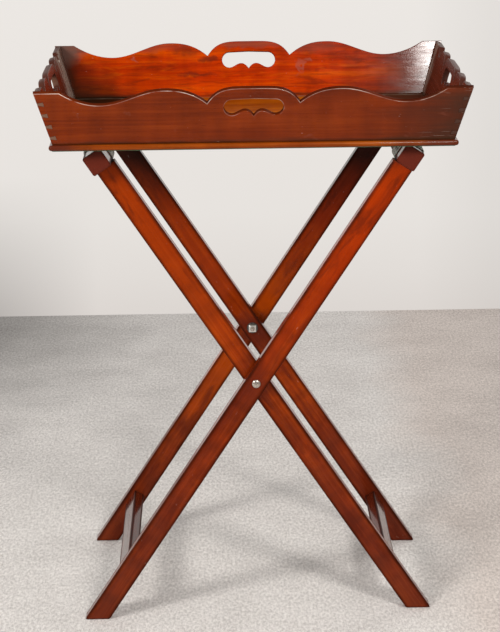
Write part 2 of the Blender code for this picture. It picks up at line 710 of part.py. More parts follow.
def make_end_wall(name, way):
    """An end wall between the long walls, with dovetail pins that pass through them."""
    side = Vector((way, 0, 0))
    heights = (END_ARCH_HEIGHT, END_HUMP_HEIGHT, END_CUSP_HEIGHT, END_SCOOP_HEIGHT)
    shares = (END_HUMP_SHARE, END_SCOOP_SHARE, END_FLAT_SHARE)
    short = WALL_RUN + FIT_GAP
    bm = wall_mesh(side, HALF_DEPTH, (heights, shares, END_POWERS), -END_PATTERN_SHIFT, short)
    wall = add_object(name, bm, "tray_mahogany", (0, 0, BASE_TOP))
    for way_y in (-1, 1):
        for height in pin_heights():
            join(wall, name + "_pin", pin_block(way, way_y, height, 0, 0))
    drill_wall(wall, side)
    return wall


def frame_empty(name):
    empty = bpy.data.objects.new(name, None)
    bpy.context.collection.objects.link(empty)
    empty.location = pivot()
    return empty


def make_frame(name, lean_way, outer_face):
    """One folding frame: two legs, a top rail and a stretcher, all turning about the pivot's axis."""
    parent = frame_empty(name + "_axis")
    for side, front in (("front", -1), ("back", 1)):
        make_leg(name + "_leg_" + side, lean_way, outer_face, front, parent)
    make_rail(name + "_top_rail", lean_way, outer_face, parent)
    make_stretcher(name + "_stretcher", lean_way, outer_face, parent)
    make_tacks(name, lean_way, parent)
    return parent


def build():
    clear_scene()
    outer = make_frame("outer", 1, HALF_STAND)
    make_frame("inner", -1, INNER_LEG_FACE)
    for side, way in (("front", -1), ("back", 1)):
        make_pivot(side, way, outer)
        make_strap("strap_" + side, way)
    make_base()
    make_baize()
    make_screws()
    make_long_wall("front_wall", -1)
    make_long_wall("back_wall", 1)
    make_end_wall("left_end", -1)
    make_end_wall("right_end", 1)


build()
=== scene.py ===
import math

import bmesh
import bpy
from mathutils import Matrix, Vector


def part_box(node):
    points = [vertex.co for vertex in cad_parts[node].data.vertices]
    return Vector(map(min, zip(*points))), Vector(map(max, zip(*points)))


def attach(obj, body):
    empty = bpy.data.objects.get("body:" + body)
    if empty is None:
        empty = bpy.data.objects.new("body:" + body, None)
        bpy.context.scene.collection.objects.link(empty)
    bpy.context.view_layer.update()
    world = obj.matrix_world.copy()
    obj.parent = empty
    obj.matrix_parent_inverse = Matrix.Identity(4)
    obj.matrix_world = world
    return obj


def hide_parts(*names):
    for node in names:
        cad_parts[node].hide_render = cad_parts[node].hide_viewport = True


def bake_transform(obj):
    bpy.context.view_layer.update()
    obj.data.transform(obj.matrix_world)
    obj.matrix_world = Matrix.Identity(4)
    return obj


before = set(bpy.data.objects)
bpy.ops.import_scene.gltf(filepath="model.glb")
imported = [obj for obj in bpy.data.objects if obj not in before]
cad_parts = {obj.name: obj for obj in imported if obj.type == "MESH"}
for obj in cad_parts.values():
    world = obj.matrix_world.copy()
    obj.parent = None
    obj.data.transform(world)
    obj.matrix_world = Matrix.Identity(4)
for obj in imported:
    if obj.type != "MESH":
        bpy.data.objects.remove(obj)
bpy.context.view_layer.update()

# ---------------------------------------------------------------------------
# The camera, where the photograph was taken: in front of the tray, a little
# to its left, looking down at it through a long lens.
# ---------------------------------------------------------------------------
CAMERA_PLACE = (-0.0574, -3.3317, 1.4754)
CAMERA_LENS, CAMERA_FILM_HEIGHT = 113.755, 36
CAMERA_HEADING, CAMERA_TILT, CAMERA_ROLL = -0.88, 73.46, -0.67

camera = bpy.data.objects.new("camera", bpy.data.cameras.new("camera"))
bpy.context.scene.collection.objects.link(camera)
camera.data.lens = CAMERA_LENS
camera.data.sensor_fit = "VERTICAL"
camera.data.sensor_height = CAMERA_FILM_HEIGHT
camera.matrix_world = (
    Matrix.Translation(CAMERA_PLACE)
    @ Matrix.Rotation(math.radians(CAMERA_HEADING), 4, "Z")
    @ Matrix.Rotation(math.radians(CAMERA_TILT), 4, "X")
    @ Matrix.Rotation(math.radians(CAMERA_ROLL), 4, "Z")
)
bpy.context.scene.camera = camera
bpy.context.scene.view_settings.view_transform = "Standard"

# ---------------------------------------------------------------------------
# The room: a plain pale floor of short pile, and a pale backdrop that only
# the camera, gloss and glass see, so that other views stay open.
# ---------------------------------------------------------------------------
FLOOR_HALF_WIDTH, FLOOR_NEAR, FLOOR_FAR = 2.6, -3.2, 1.667
AMBIENT_COLOUR, AMBIENT_STRENGTH = (1.0, 0.985, 0.97, 1), 0.46


class Nodes:
    """A node tree, with a short name for each kind of node that it is built from."""

    def __init__(self, tree):
        self.tree = tree

    def feed(self, node, values):
        """Feeds a node's sockets with values or other nodes' outputs."""
        for name, value in values.items():
            if isinstance(value, bpy.types.NodeSocket):
                self.tree.links.new(value, node.inputs[name])
            else:
                node.inputs[name].default_value = value

    def add(self, kind, sockets=None, **settings):
        """Adds a node, sets it and feeds it. Gives its outputs."""
        made = self.tree.nodes.new(kind)
        for name, value in settings.items():
            setattr(made, name, value)
        self.feed(made, sockets or {})
        return made.outputs

    def reckon(self, operation, first, second=0.0, clamp=False):
        return self.add("ShaderNodeMath", {0: first, 1: second}, operation=operation, use_clamp=clamp)[0]

    def plus(self, first, *others):
        for other in others:
            first = self.reckon("ADD", first, other)
        return first

    def times(self, first, *others):
        for other in others:
            first = self.reckon("MULTIPLY", first, other)
        return first

    def most(self, first, *others):
        for other in others:
            first = self.reckon("MAXIMUM", first, other)
        return first

    def minus(self, first, second):
        return self.reckon("SUBTRACT", first, second)

    def size(self, value):
        return self.reckon("ABSOLUTE", value)

    def spread(self, value, span, to=(0.0, 1.0)):
        """Stretches a value's span onto another one, held at both ends."""
        return self.add("ShaderNodeMapRange", {0: value, 1: span[0], 2: span[1], 3: to[0], 4: to[1]})[0]

    def parts(self, vector):
        """The x, y and z of a vector."""
        return self.add("ShaderNodeSeparateXYZ", {0: vector})

    def moved(self, vector, by):
        return self.add("ShaderNodeVectorMath", {0: vector, 1: by})[0]

    def scaled(self, vector, scale):
        return self.add("ShaderNodeVectorMath", {0: vector, 1: scale}, operation="MULTIPLY")[0]

    def length(self, vector):
        return self.add("ShaderNodeVectorMath", {0: vector}, operation="LENGTH")["Value"]

    def ramp(self, factor, *stops):
        """A colour ramp with (place, colour) stops."""
        outputs = self.add("ShaderNodeValToRGB", {0: factor})
        band = outputs[0].node.color_ramp
        while len(band.elements) < len(stops):
            band.elements.new(0.5)
        for element, (place, colour) in zip(band.elements, stops):
            element.position = place
            element.color = (*colour, 1)
        return outputs[0]

    def grey(self, value):
        return self.add("ShaderNodeCombineColor", {0: value, 1: value, 2: value})[0]

    def blended(self, factor, under, over, way="MIX"):
        """Lays one colour over another."""
        over = (*over, 1) if isinstance(over, tuple) else over
        return self.add("ShaderNodeMix", {0: factor, 6: under, 7: over},
                        data_type="RGBA", blend_type=way, clamp_result=True)[2]


class Finish(Nodes):
    """A new material: its nodes, its shader, and each spot's place in the object's own coordinates."""

    def __init__(self, name):
        self.material = bpy.data.materials.new(name)
        self.material.use_nodes = True
        super().__init__(self.material.node_tree)
        self.shader = self.tree.nodes["Principled BSDF"]
        coordinates = self.add("ShaderNodeTexCoord")
        self.place, self.normal = coordinates["Object"], coordinates["Normal"]
        self.x, self.y, self.z = self.parts(self.place)

    def noise(self, scale, detail=3, roughness=0.5, distortion=0.0, at=None):
        """Soft noise, about 0.5 on average, with its own scale along each axis."""
        stretched = self.scaled(at or self.place, scale)
        return self.add("ShaderNodeTexNoise", {
            "Vector": stretched, "Scale": 1, "Detail": detail, "Roughness": roughness, "Distortion": distortion})[0]

    def wander(self, scale, reach, detail=3):
        """A small shift to and fro, which makes a patch's edge uneven."""
        return self.spread(self.noise(scale, detail), (0.3, 0.7), (-reach, reach))

    def look(self, **values):
        self.feed(self.shader, {name.replace("_", " "): value for name, value in values.items()})

    def bumped(self, height, strength, distance):
        bump = self.add("ShaderNodeBump", {"Height": height, "Strength": strength, "Distance": distance})
        self.look(Normal=bump[0])


def new_piece(name, bm, *materials):
    """A named object with its place in its mesh."""
    mesh = bpy.data.meshes.new(name)
    bm.to_mesh(mesh)
    bm.free()
    piece = bpy.data.objects.new(name, mesh)
    bpy.context.scene.collection.objects.link(piece)
    for material in materials:
        mesh.materials.append(material)
    return piece


pile = Finish("floor_pile")
tufts = pile.noise((210, 95, 180), 3, 0.8)
patches = pile.noise((7, 7, 7), 4, 0.6)
shade = pile.plus(pile.times(tufts, 0.8), pile.times(patches, 0.2))
colour = pile.ramp(shade, (0.37, (0.53, 0.50, 0.48)), (0.64, (0.91, 0.875, 0.845)))
wander = pile.wander((3, 3, 3), 0.06)
# Painted shade: the floor darkens towards its right and in its far left corner.
painted_shade_right = pile.spread(pile.plus(pile.x, wander), (0.27, 0.42), (0.0, 0.8))
colour = pile.blended(painted_shade_right, colour, (0.87, 0.80, 0.765), "MULTIPLY")
off_corner = pile.scaled(pile.moved(pile.place, (0.72, -1.6, 0.0)), (1.0, 0.45, 1.0))
dim_corner = pile.spread(pile.plus(pile.length(off_corner), wander), (0.06, 0.48), (0.5, 0.0))
colour = pile.blended(dim_corner, colour, (0.0, 0.0, 0.0))
pile.look(Base_Color=colour, Roughness=0.95, Specular_IOR_Level=0.1)
pile.bumped(tufts, 0.3, 0.003)

bm = bmesh.new()
bm.faces.new([bm.verts.new((way * FLOOR_HALF_WIDTH, y, 0)) for way, y in (
    (-1, FLOOR_NEAR), (1, FLOOR_NEAR), (1, FLOOR_FAR), (-1, FLOOR_FAR))])
floor = new_piece("floor", bm, pile.material)

world = bpy.data.worlds.new("pale_room")
bpy.context.scene.world = world
world.use_nodes = True
world.node_tree.nodes.clear()
room = Nodes(world.node_tree)
sideways, forwards, upwards = room.parts(room.add("ShaderNodeTexCoord")["Generated"])
backdrop = room.ramp(room.spread(upwards, (-0.30, -0.12)),
                     (0.09, (0.715, 0.67, 0.635)), (0.20, (0.755, 0.715, 0.68)),
                     (0.36, (0.80, 0.765, 0.73)), (1.0, (0.84, 0.805, 0.77)))
dim_left = room.times(room.spread(sideways, (-0.125, -0.0615), (0.43, 0.0)),
                      room.spread(upwards, (-0.28, -0.215), (1.0, 0.0)))
dim_right = room.spread(sideways, (0.10, 0.135), (0.0, 0.08))
backdrop = room.blended(room.plus(dim_left, dim_right), backdrop, (0.0, 0.0, 0.0))
dim_near = room.grey(room.spread(forwards, (-0.2, -0.9), (1.0, 0.35)))
backdrop = room.blended(1.0, backdrop, dim_near, "MULTIPLY")
rays = room.add("ShaderNodeLightPath")
seen = room.reckon("ADD", rays["Is Camera Ray"], rays["Is Glossy Ray"], True)
seen = room.reckon("ADD", seen, rays["Is Transmission Ray"], True)
ambient = room.add("ShaderNodeBackground", {"Color": AMBIENT_COLOUR, "Strength": AMBIENT_STRENGTH})[0]
shown = room.add("ShaderNodeBackground", {"Color": backdrop, "Strength": 1.0})[0]
mixed = room.add("ShaderNodeMixShader", {0: seen, 1: ambient, 2: shown})[0]
room.add("ShaderNodeOutputWorld", {0: mixed})

# ---------------------------------------------------------------------------
# The lamps: a soft one to the left and one to the right of the camera, which
# the back of the tray mirrors, and a weak one behind for the edges.
# ---------------------------------------------------------------------------
LAMP_COLOUR = (1.0, 0.975, 0.94)


def soft_lamp(name, towards, distance, width, height, power, aim=(0, 0, 0.6)):
    lamp = bpy.data.lights.new(name, "AREA")
    lamp.shape = "RECTANGLE"
    lamp.size = width
    lamp.size_y = height
    lamp.energy = power
    lamp.color = LAMP_COLOUR
    holder = bpy.data.objects.new(name, lamp)
    bpy.context.scene.collection.objects.link(holder)
    way = Vector(towards).normalized()
    holder.location = Vector(aim) + way * distance
    holder.rotation_euler = way.to_track_quat("Z", "Y").to_euler()


soft_lamp("left_lamp", (-1.84, -1.85, 1.40), distance=2.96, width=0.6, height=0.6, power=45)
soft_lamp("right_lamp", (0.44, -2.4, 1.005), distance=2.0, width=0.34, height=0.35, power=20.5, aim=(0.35, 0.2, 0.88))
soft_lamp("back_lamp", (0.5, 0.8, 0.6), distance=2.8, width=1.2, height=0.8, power=12)

# ---------------------------------------------------------------------------
# The tray's bottom: one mahogany board with a full round edge that stands
# out past the walls, polished a lighter orange than they are. The walls are
# screwed to it from below.
# ---------------------------------------------------------------------------
FIT_GAP = 0.0003
BASE_LOWEST, BASE_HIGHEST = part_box("tray_bottom")
BASE_LOW, BASE_HIGH = BASE_LOWEST.z, BASE_HIGHEST.z
BASE_HALF_X, BASE_HALF_Y = BASE_HIGHEST.x, BASE_HIGHEST.y
FLOOR_RISE = 0.001
BASE_TOP = BASE_HIGH - FLOOR_RISE
BASE_OVERHANG = 0.006
BASE_CORNER, SHARP_CORNER = 0.0045, 0.0003
NOSE_DEPTH_SHARE, NOSE_STEPS = 0.85, 10
CORNER_HEIGHT = 0.087
WALL_FLARE = 0.025
WALL_THICKNESS = 0.010
FLARE = math.atan(WALL_FLARE / CORNER_HEIGHT)
WALL_RUN = WALL_THICKNESS / math.cos(FLARE)
HALF_LENGTH = BASE_HALF_X - BASE_OVERHANG
HALF_DEPTH = BASE_HALF_Y - BASE_OVERHANG
POLISH_RUN = 0.016
POLISH_EDGE = HALF_DEPTH - WALL_RUN - POLISH_RUN
WORN_EDGE_AND_GLINT = (0.90, 0.76, 0.66)


def mahogany(name, dark, ruddy, light, turn=(0, 0, 0), shift=(0, 0, 0), roughness=0.24, rubbing_and_glint=0.15,
             gloss=1.0, shine=0.24, specular=0.08, ends=None, edge_dark=None, mottling=0.15,
             shading=(), clouding=None):
    """French-polished mahogany. turn lays the grain along the piece, and shift takes it from another board.
    rubbing_and_glint is how pale its sharp edges are, partly from wear and partly as a painted highlight.
    gloss is its shine seen from low down, and shine straight on. ends and edge_dark are the colours of its
    end grain and of its darker, duller edges. shading adds patches of colour, some of them painted light and
    shade, as functions that say how much there is of each, with their colours, and clouding takes gloss away
    in places."""
    wood = Finish(name)
    board = wood.add("ShaderNodeMapping", {"Vector": wood.place, "Rotation": turn, "Location": shift})[0]
    fibres = wood.noise((5, 230, 230), 6, 0.62, at=board)
    stripes = wood.noise((2.2, 46, 46), 3, 0.55, 0.4, at=board)
    figure = wood.noise((2.6, 15, 15), 3, 0.55, 1.1, at=board)
    tone = wood.plus(wood.times(figure, 0.40), wood.times(stripes, 0.28), wood.times(fibres, 0.32))
    colour = wood.ramp(tone, (0.39, dark), (0.50, ruddy), (0.61, light))
    mottle = wood.spread(wood.noise((34, 7, 7), 2, at=board), (0.3, 0.7), (1 - mottling, 1 + mottling))
    colour = wood.blended(1.0, colour, wood.grey(mottle), "MULTIPLY")
    pores = wood.spread(wood.noise((75, 1150, 1150), 2, 0.6, at=board), (0.62, 0.72))
    colour = wood.blended(wood.times(pores, 0.45), colour, tuple(part * 0.25 for part in dark))
    for amount, patch_colour in shading:
        colour = wood.blended(amount(wood), colour, patch_colour)
    facing = wood.add("ShaderNodeMapping", {"Vector": wood.normal, "Rotation": turn}, vector_type="VECTOR")[0]
    end_grain = wood.spread(wood.size(wood.parts(facing)[0]), (0.75, 0.95))
    end_colour = ends or (dark[0] * 0.62, dark[1] + 0.022, dark[2] + 0.016)
    colour = wood.blended(wood.times(end_grain, 0.9 if ends else 0.5), colour, end_colour)
    patchy = wood.spread(wood.noise((24, 60, 60), 4, 0.6, at=board), (0.36, 0.62))
    # Edges and ends are darker and duller, as much as the mesh's attribute says.
    edge_darkening = wood.add("ShaderNodeAttribute", attribute_name="edge_darkening")["Fac"]
    edge_darkening_share = wood.times(edge_darkening, wood.spread(patchy, (0.0, 1.0), (0.9, 0.6)))
    colour = wood.blended(edge_darkening_share, colour, edge_dark or (dark[0] * 0.22, dark[1] * 0.35, dark[2] * 0.5))
    handled = wood.spread(wood.noise((9, 9, 9), 2, at=board), (0.40, 0.58), (0.3, 1.0))
    nicks = wood.spread(wood.noise((110, 420, 420), 2, at=board), (0.75, 0.785), (0.0, 0.16))
    # Pale sharp edges: partly wear, partly a painted highlight of the lamps glinting on them.
    worn_and_glint = wood.add("ShaderNodeAttribute", attribute_name="worn_and_glint")["Fac"]
    rubbed = wood.most(wood.times(worn_and_glint, patchy, handled, rubbing_and_glint), nicks)
    colour = wood.blended(rubbed, colour, WORN_EDGE_AND_GLINT)
    rough = wood.plus(wood.spread(fibres, (0.3, 0.7), (roughness - 0.04, roughness + 0.07)),
                      wood.times(wood.most(end_grain, edge_darkening), 0.3), wood.times(rubbed, 0.12))
    aslant = wood.add("ShaderNodeLayerWeight", {"Blend": 0.5})["Facing"]
    coat = wood.times(wood.spread(aslant, (0.45, 0.9), (shine, gloss)),
                      wood.spread(edge_darkening, (0.0, 0.35), (1.0, 0.04)))
    if clouding:
        coat = wood.times(coat, clouding(wood))
    wood.look(Base_Color=colour, Roughness=rough, Specular_IOR_Level=specular,
              Coat_Weight=coat, Coat_Roughness=0.09)
    wood.bumped(wood.minus(wood.times(fibres, 0.5), wood.times(pores, 0.5)), 0.12, 0.0004)
    return wood.material


def smooth(piece, angle=35):
    """Smooth shading that keeps edges sharper than the angle."""
    piece.data.shade_smooth()
    piece.data.set_sharp_from_angle(angle=math.radians(angle))


def stacked(bm, rings):
    """Joins closed rings of points in their order, and closes both ends. Returns the rings' vertices."""
    made = [[bm.verts.new(spot) for spot in ring] for ring in rings]
    for low, high in zip(made, made[1:]):
        for i in range(len(low)):
            bm.faces.new((low[i - 1], low[i], high[i], high[i - 1]))
    bm.faces.new(made[0])
    bm.faces.new(made[-1])
    bmesh.ops.recalc_face_normals(bm, faces=bm.faces)
    return made


def rounded_rectangle(half_x, half_y, radius, steps=4):
    """The (x, y) outline of a rectangle with round corners."""
    outline = []
    for quarter, (way_x, way_y) in enumerate(((1, 1), (-1, 1), (-1, -1), (1, -1))):
        for i in range(steps + 1):
            angle = math.pi / 2 * (quarter + i / steps)
            outline.append((way_x * (half_x - radius) + radius * math.cos(angle),
                            way_y * (half_y - radius) + radius * math.sin(angle)))
    return outline


def darker_floor_end(way):
    """The tray's floor has kept its dark polish towards both ends."""
    return lambda wood: wood.spread(wood.plus(wood.times(wood.x, way), wood.wander((9, 14, 9), 0.04)), (0.10, 0.21))


def red_polish_by_the_wall(wood):
    """Red polish has run a finger's width onto the floor, along the back wall."""
    return wood.spread(wood.y, (POLISH_EDGE - 0.001, POLISH_EDGE + 0.001))


def dust_line(wood):
    """Dust has caught where that polish ends."""
    broken = wood.spread(wood.noise((40, 90, 10), 3), (0.35, 0.6), (0.2, 0.8))
    off = wood.size(wood.minus(wood.y, POLISH_EDGE))
    return wood.times(wood.spread(off, (0.0015, 0.0045), (1.0, 0.0)), broken)


def browner_rim(wood):
    """The rim is browner towards both ends."""
    off = wood.size(wood.plus(wood.x, 0.02, wood.wander((14, 14, 9), 0.03)))
    return wood.spread(off, (0.22, 0.29), (0.0, 0.92))


base_mahogany = mahogany("base_mahogany", (0.13, 0.017, 0.001), (0.21, 0.036, 0.001), (0.30, 0.068, 0.003),
                         shift=(0.3, 0.7, 0.2), roughness=0.26, gloss=0.6, shine=0.12,
                         shading=[(browner_rim, (0.085, 0.014, 0.006))])
floor_mahogany = mahogany("floor_mahogany", (0.22, 0.036, 0.0), (0.36, 0.080, 0.001), (0.46, 0.125, 0.003),
                          shift=(0.3, 0.7, 0.2), roughness=0.4, gloss=0.06, shine=0.04, specular=0.02,
                          shading=[(red_polish_by_the_wall, (0.36, 0.040, 0.0)),
                                   (darker_floor_end(-1), (0.022, 0.009, 0.003)),
                                   (darker_floor_end(1), (0.07, 0.022, 0.010)),
                                   (dust_line, (0.24, 0.20, 0.15))])
nose_middle = (BASE_TOP + BASE_LOW) / 2
nose_half = (BASE_TOP - BASE_LOW) / 2
rings = []
for i in range(NOSE_STEPS + 1):
    angle = math.pi * i / NOSE_STEPS - math.pi / 2
    inset = nose_half * NOSE_DEPTH_SHARE * (1 - math.cos(angle))
    corner = max(BASE_CORNER - inset, 2 * SHARP_CORNER)
    rings.append([(x, y, nose_middle + nose_half * math.sin(angle))
                  for x, y in rounded_rectangle(BASE_HALF_X - inset, BASE_HALF_Y - inset, corner)])
for level in (BASE_TOP, BASE_HIGH):
    rings.append([(x, y, level) for x, y in rounded_rectangle(
        HALF_LENGTH - WALL_RUN - FIT_GAP, HALF_DEPTH - WALL_RUN - FIT_GAP, SHARP_CORNER)])
bm = bmesh.new()
stacked(bm, rings)
polished_bottom = new_piece("polished_bottom", bm, base_mahogany, floor_mahogany)
polished_bottom.data.polygons[-1].material_index = 1
smooth(polished_bottom)
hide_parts("tray_bottom")
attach(polished_bottom, "tray")

# ---------------------------------------------------------------------------
# The lining: green baize, a thin felted wool cloth, cut a little smaller
# than the bottom and glued under it.
# ---------------------------------------------------------------------------
BAIZE_EDGE_IN, BAIZE_EDGE_DOWN, BAIZE_CORNER = 0.0004, 0.0003, 0.002

felt = Finish("green_baize")
nap = felt.noise((900, 900, 900), 4, 0.7)
clouds = felt.noise((28, 28, 28), 4, 0.6)
shade = felt.plus(felt.times(nap, 0.5), felt.times(clouds, 0.5))
felt.look(Base_Color=felt.ramp(shade, (0.3, (0.028, 0.10, 0.04)), (0.7, (0.075, 0.22, 0.10))),
          Roughness=0.95, Specular_IOR_Level=0.15, Sheen_Weight=0.35, Sheen_Roughness=0.5)
felt.bumped(nap, 0.6, 0.0006)

low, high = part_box("baize_lining")
rings = []
for inset, level in ((BAIZE_EDGE_IN, low.z), (0.0, low.z + BAIZE_EDGE_DOWN),
                     (0.0, high.z - BAIZE_EDGE_DOWN), (BAIZE_EDGE_IN, high.z)):
    rings.append([(x, y, level) for x, y in rounded_rectangle(high.x - inset, high.y - inset, BAIZE_CORNER, 3)])
bm = bmesh.new()
stacked(bm, rings)
baize_sheet = new_piece("baize_sheet", bm, felt.material)
smooth(baize_sheet, 60)
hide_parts("baize_lining")
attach(baize_sheet, "tray")

# ---------------------------------------------------------------------------
# The four walls: flared mahogany boards 10 mm thick with scalloped tops and
# pierced hand grips, dovetailed at the corners and pale along their edges,
# partly worn and partly a painted highlight. The ends carry the pins and the
# long walls their sockets.
# ---------------------------------------------------------------------------
HALF_GRIP = 0.0473
CUSP_AT = HALF_GRIP + 0.0259
# A curve has the heights of its arch, hump, cusp and scoop; how far out its hump, scoop and corner flat are,
# as shares of the way from the cusp to the corner; and the powers that shape its four arcs.
LONG_HEIGHTS, LONG_POWERS = (0.091, 0.089, 0.0665, 0.0655), (2.0, 1.0, 2.5, 4.6)
FRONT_CURVE = (LONG_HEIGHTS, (0.249, 0.621, 0.851), LONG_POWERS)
BACK_CURVE = (LONG_HEIGHTS, (0.249, 0.621, 0.8768), LONG_POWERS)
END_CURVE = ((0.088, 0.088, 0.0655, 0.072), (0.199, 0.466, 0.618), (1.6, 2.0, 4.0, 7.0))
END_PATTERN_SHIFT = 0.014
GRIP_TOP, GRIP_SHOULDER = 0.0737, 0.0725
GRIP_LOBE, GRIP_HUMP, GRIP_CUSP = 0.046, 0.0533, 0.0445
GRIP_LOBE_SHARE, GRIP_HUMP_SHARE, GRIP_CUSP_POWER = 0.73, 0.285, 2.2
CURVE_STEPS = 20
TOP_ROUND, GRIP_ROUND = 0.0008, 0.0009
CORNER_ROUND, JOINT_ROUND, FOOT_ROUND = 0.0008, 0.00015, 0.0003
ROUND_STEPS = 4
EDGE_FADE_WIDTH = 0.0006
NEARLY_STRAIGHT = 0.02
# How pale each ring of an edge turns: partly wear, partly a painted highlight.
OUTER_RUBBING_AND_GLINT = (0.2, 0.8, 1.0, 0.4, 0.0)
INNER_RUBBING_AND_GLINT = (0.0, 0.05, 0.2, 0.1, 0.0)
CORNER_RUBBING_AND_GLINT = 0.8
EDGE_DARKENING = (0.0, 0.0, 0.0, 0.1, 0.35, 0.45, 0.9, 0.95, 0.5, 0.1, 0.1, 0.0)
PIN_HEIGHTS = [0.012 + 0.019 * i for i in range(4)]
PIN_EDGE, PIN_ROOT = 0.0036, 0.0068
PIN_OVERLAP, PIN_DEEPER, SOCKET_REACH = 0.0002, 0.002, 0.002
QUARTER = math.pi / 2


def ease(share):
    return (1 - math.cos(math.pi * share)) / 2


def top_edge(half_length, curve):
    """Half of a wall's top, from the start of its corner flat to the middle, as (along, height) points."""
    (arch, hump, cusp, scoop), shares, (scoop_power, rise_power, fall_power, arch_power) = curve
    hump_at, scoop_at, flat_at = [CUSP_AT + share * (half_length - CUSP_AT) for share in shares]
    steps = [i / CURVE_STEPS for i in range(CURVE_STEPS)]
    points = [(flat_at + (scoop_at - flat_at) * s, scoop + (CORNER_HEIGHT - scoop) * (1 - s) ** scoop_power)
              for s in steps]
    points += [(scoop_at + (hump_at - scoop_at) * s, scoop + (hump - scoop) * ease(1 - (1 - s) ** rise_power))
               for s in steps]
    points += [(hump_at + (CUSP_AT - hump_at) * s, hump - (hump - cusp) * s ** fall_power) for s in steps]
    for s in steps + [1.0]:
        share = math.cos(math.pi / 2 * s)
        points.append((CUSP_AT * share, arch - (arch - cusp) * share ** arch_power))
    return points


def grip_outline():
    """Round ends, a nearly straight top, and a bottom of two lobes and a cusp."""
    lobe_at, hump_at = HALF_GRIP * GRIP_LOBE_SHARE, HALF_GRIP * GRIP_HUMP_SHARE
    middle, rise = (GRIP_SHOULDER + GRIP_LOBE) / 2, (GRIP_SHOULDER - GRIP_LOBE) / 2
    steps = [i / CURVE_STEPS for i in range(CURVE_STEPS)]
    right = [(hump_at * s, GRIP_HUMP - (GRIP_HUMP - GRIP_CUSP) * (1 - s) ** GRIP_CUSP_POWER) for s in steps]
    right += [(hump_at + (lobe_at - hump_at) * s, GRIP_HUMP - (GRIP_HUMP - GRIP_LOBE) * ease(s)) for s in steps]
    for s in steps + [1.0]:
        angle = math.pi * s - math.pi / 2
        right.append((lobe_at + (HALF_GRIP - lobe_at) * math.cos(angle), middle + rise * math.sin(angle)))
    right.append((0, GRIP_TOP))
    return right + [(-along, height) for along, height in right[-2:0:-1]]


def wall_point(side, along, slant, depth):
    """A place in a wall, by its run along it, its way up the slope and its depth from the outer face."""
    height = slant * math.cos(FLARE)
    out = (HALF_DEPTH if side.y else HALF_LENGTH) + height * math.tan(FLARE) - depth * math.cos(FLARE)
    run = Vector((abs(side.y), abs(side.x), 0))
    return run * along + side * out + Vector((0, 0, BASE_TOP + height + depth * math.sin(FLARE)))


def wall_end(half_length, height, depth, short):
    return half_length - short + (height + depth * math.sin(FLARE)) * math.tan(FLARE)


def drawn_in(loop, amounts):
    """Moves every side of a closed loop inwards by its own amount. Side i runs from corner i to the next."""
    moved = []
    for i, spot in enumerate(loop):
        before = (Vector(spot) - Vector(loop[i - 1])).normalized()
        after = (Vector(loop[(i + 1) % len(loop)]) - Vector(spot)).normalized()
        first, second = Vector((-before.y, before.x)), Vector((-after.y, after.x))
        turn = first.x * second.y - first.y * second.x
        a, b = amounts[i - 1], amounts[i]
        if abs(turn) < NEARLY_STRAIGHT:
            step = (first + second).normalized() * (a + b) / 2
        else:
            step = Vector((a * second.y - b * first.y, b * first.x - a * second.x)) / turn
        moved.append(Vector(spot) + step)
    return moved


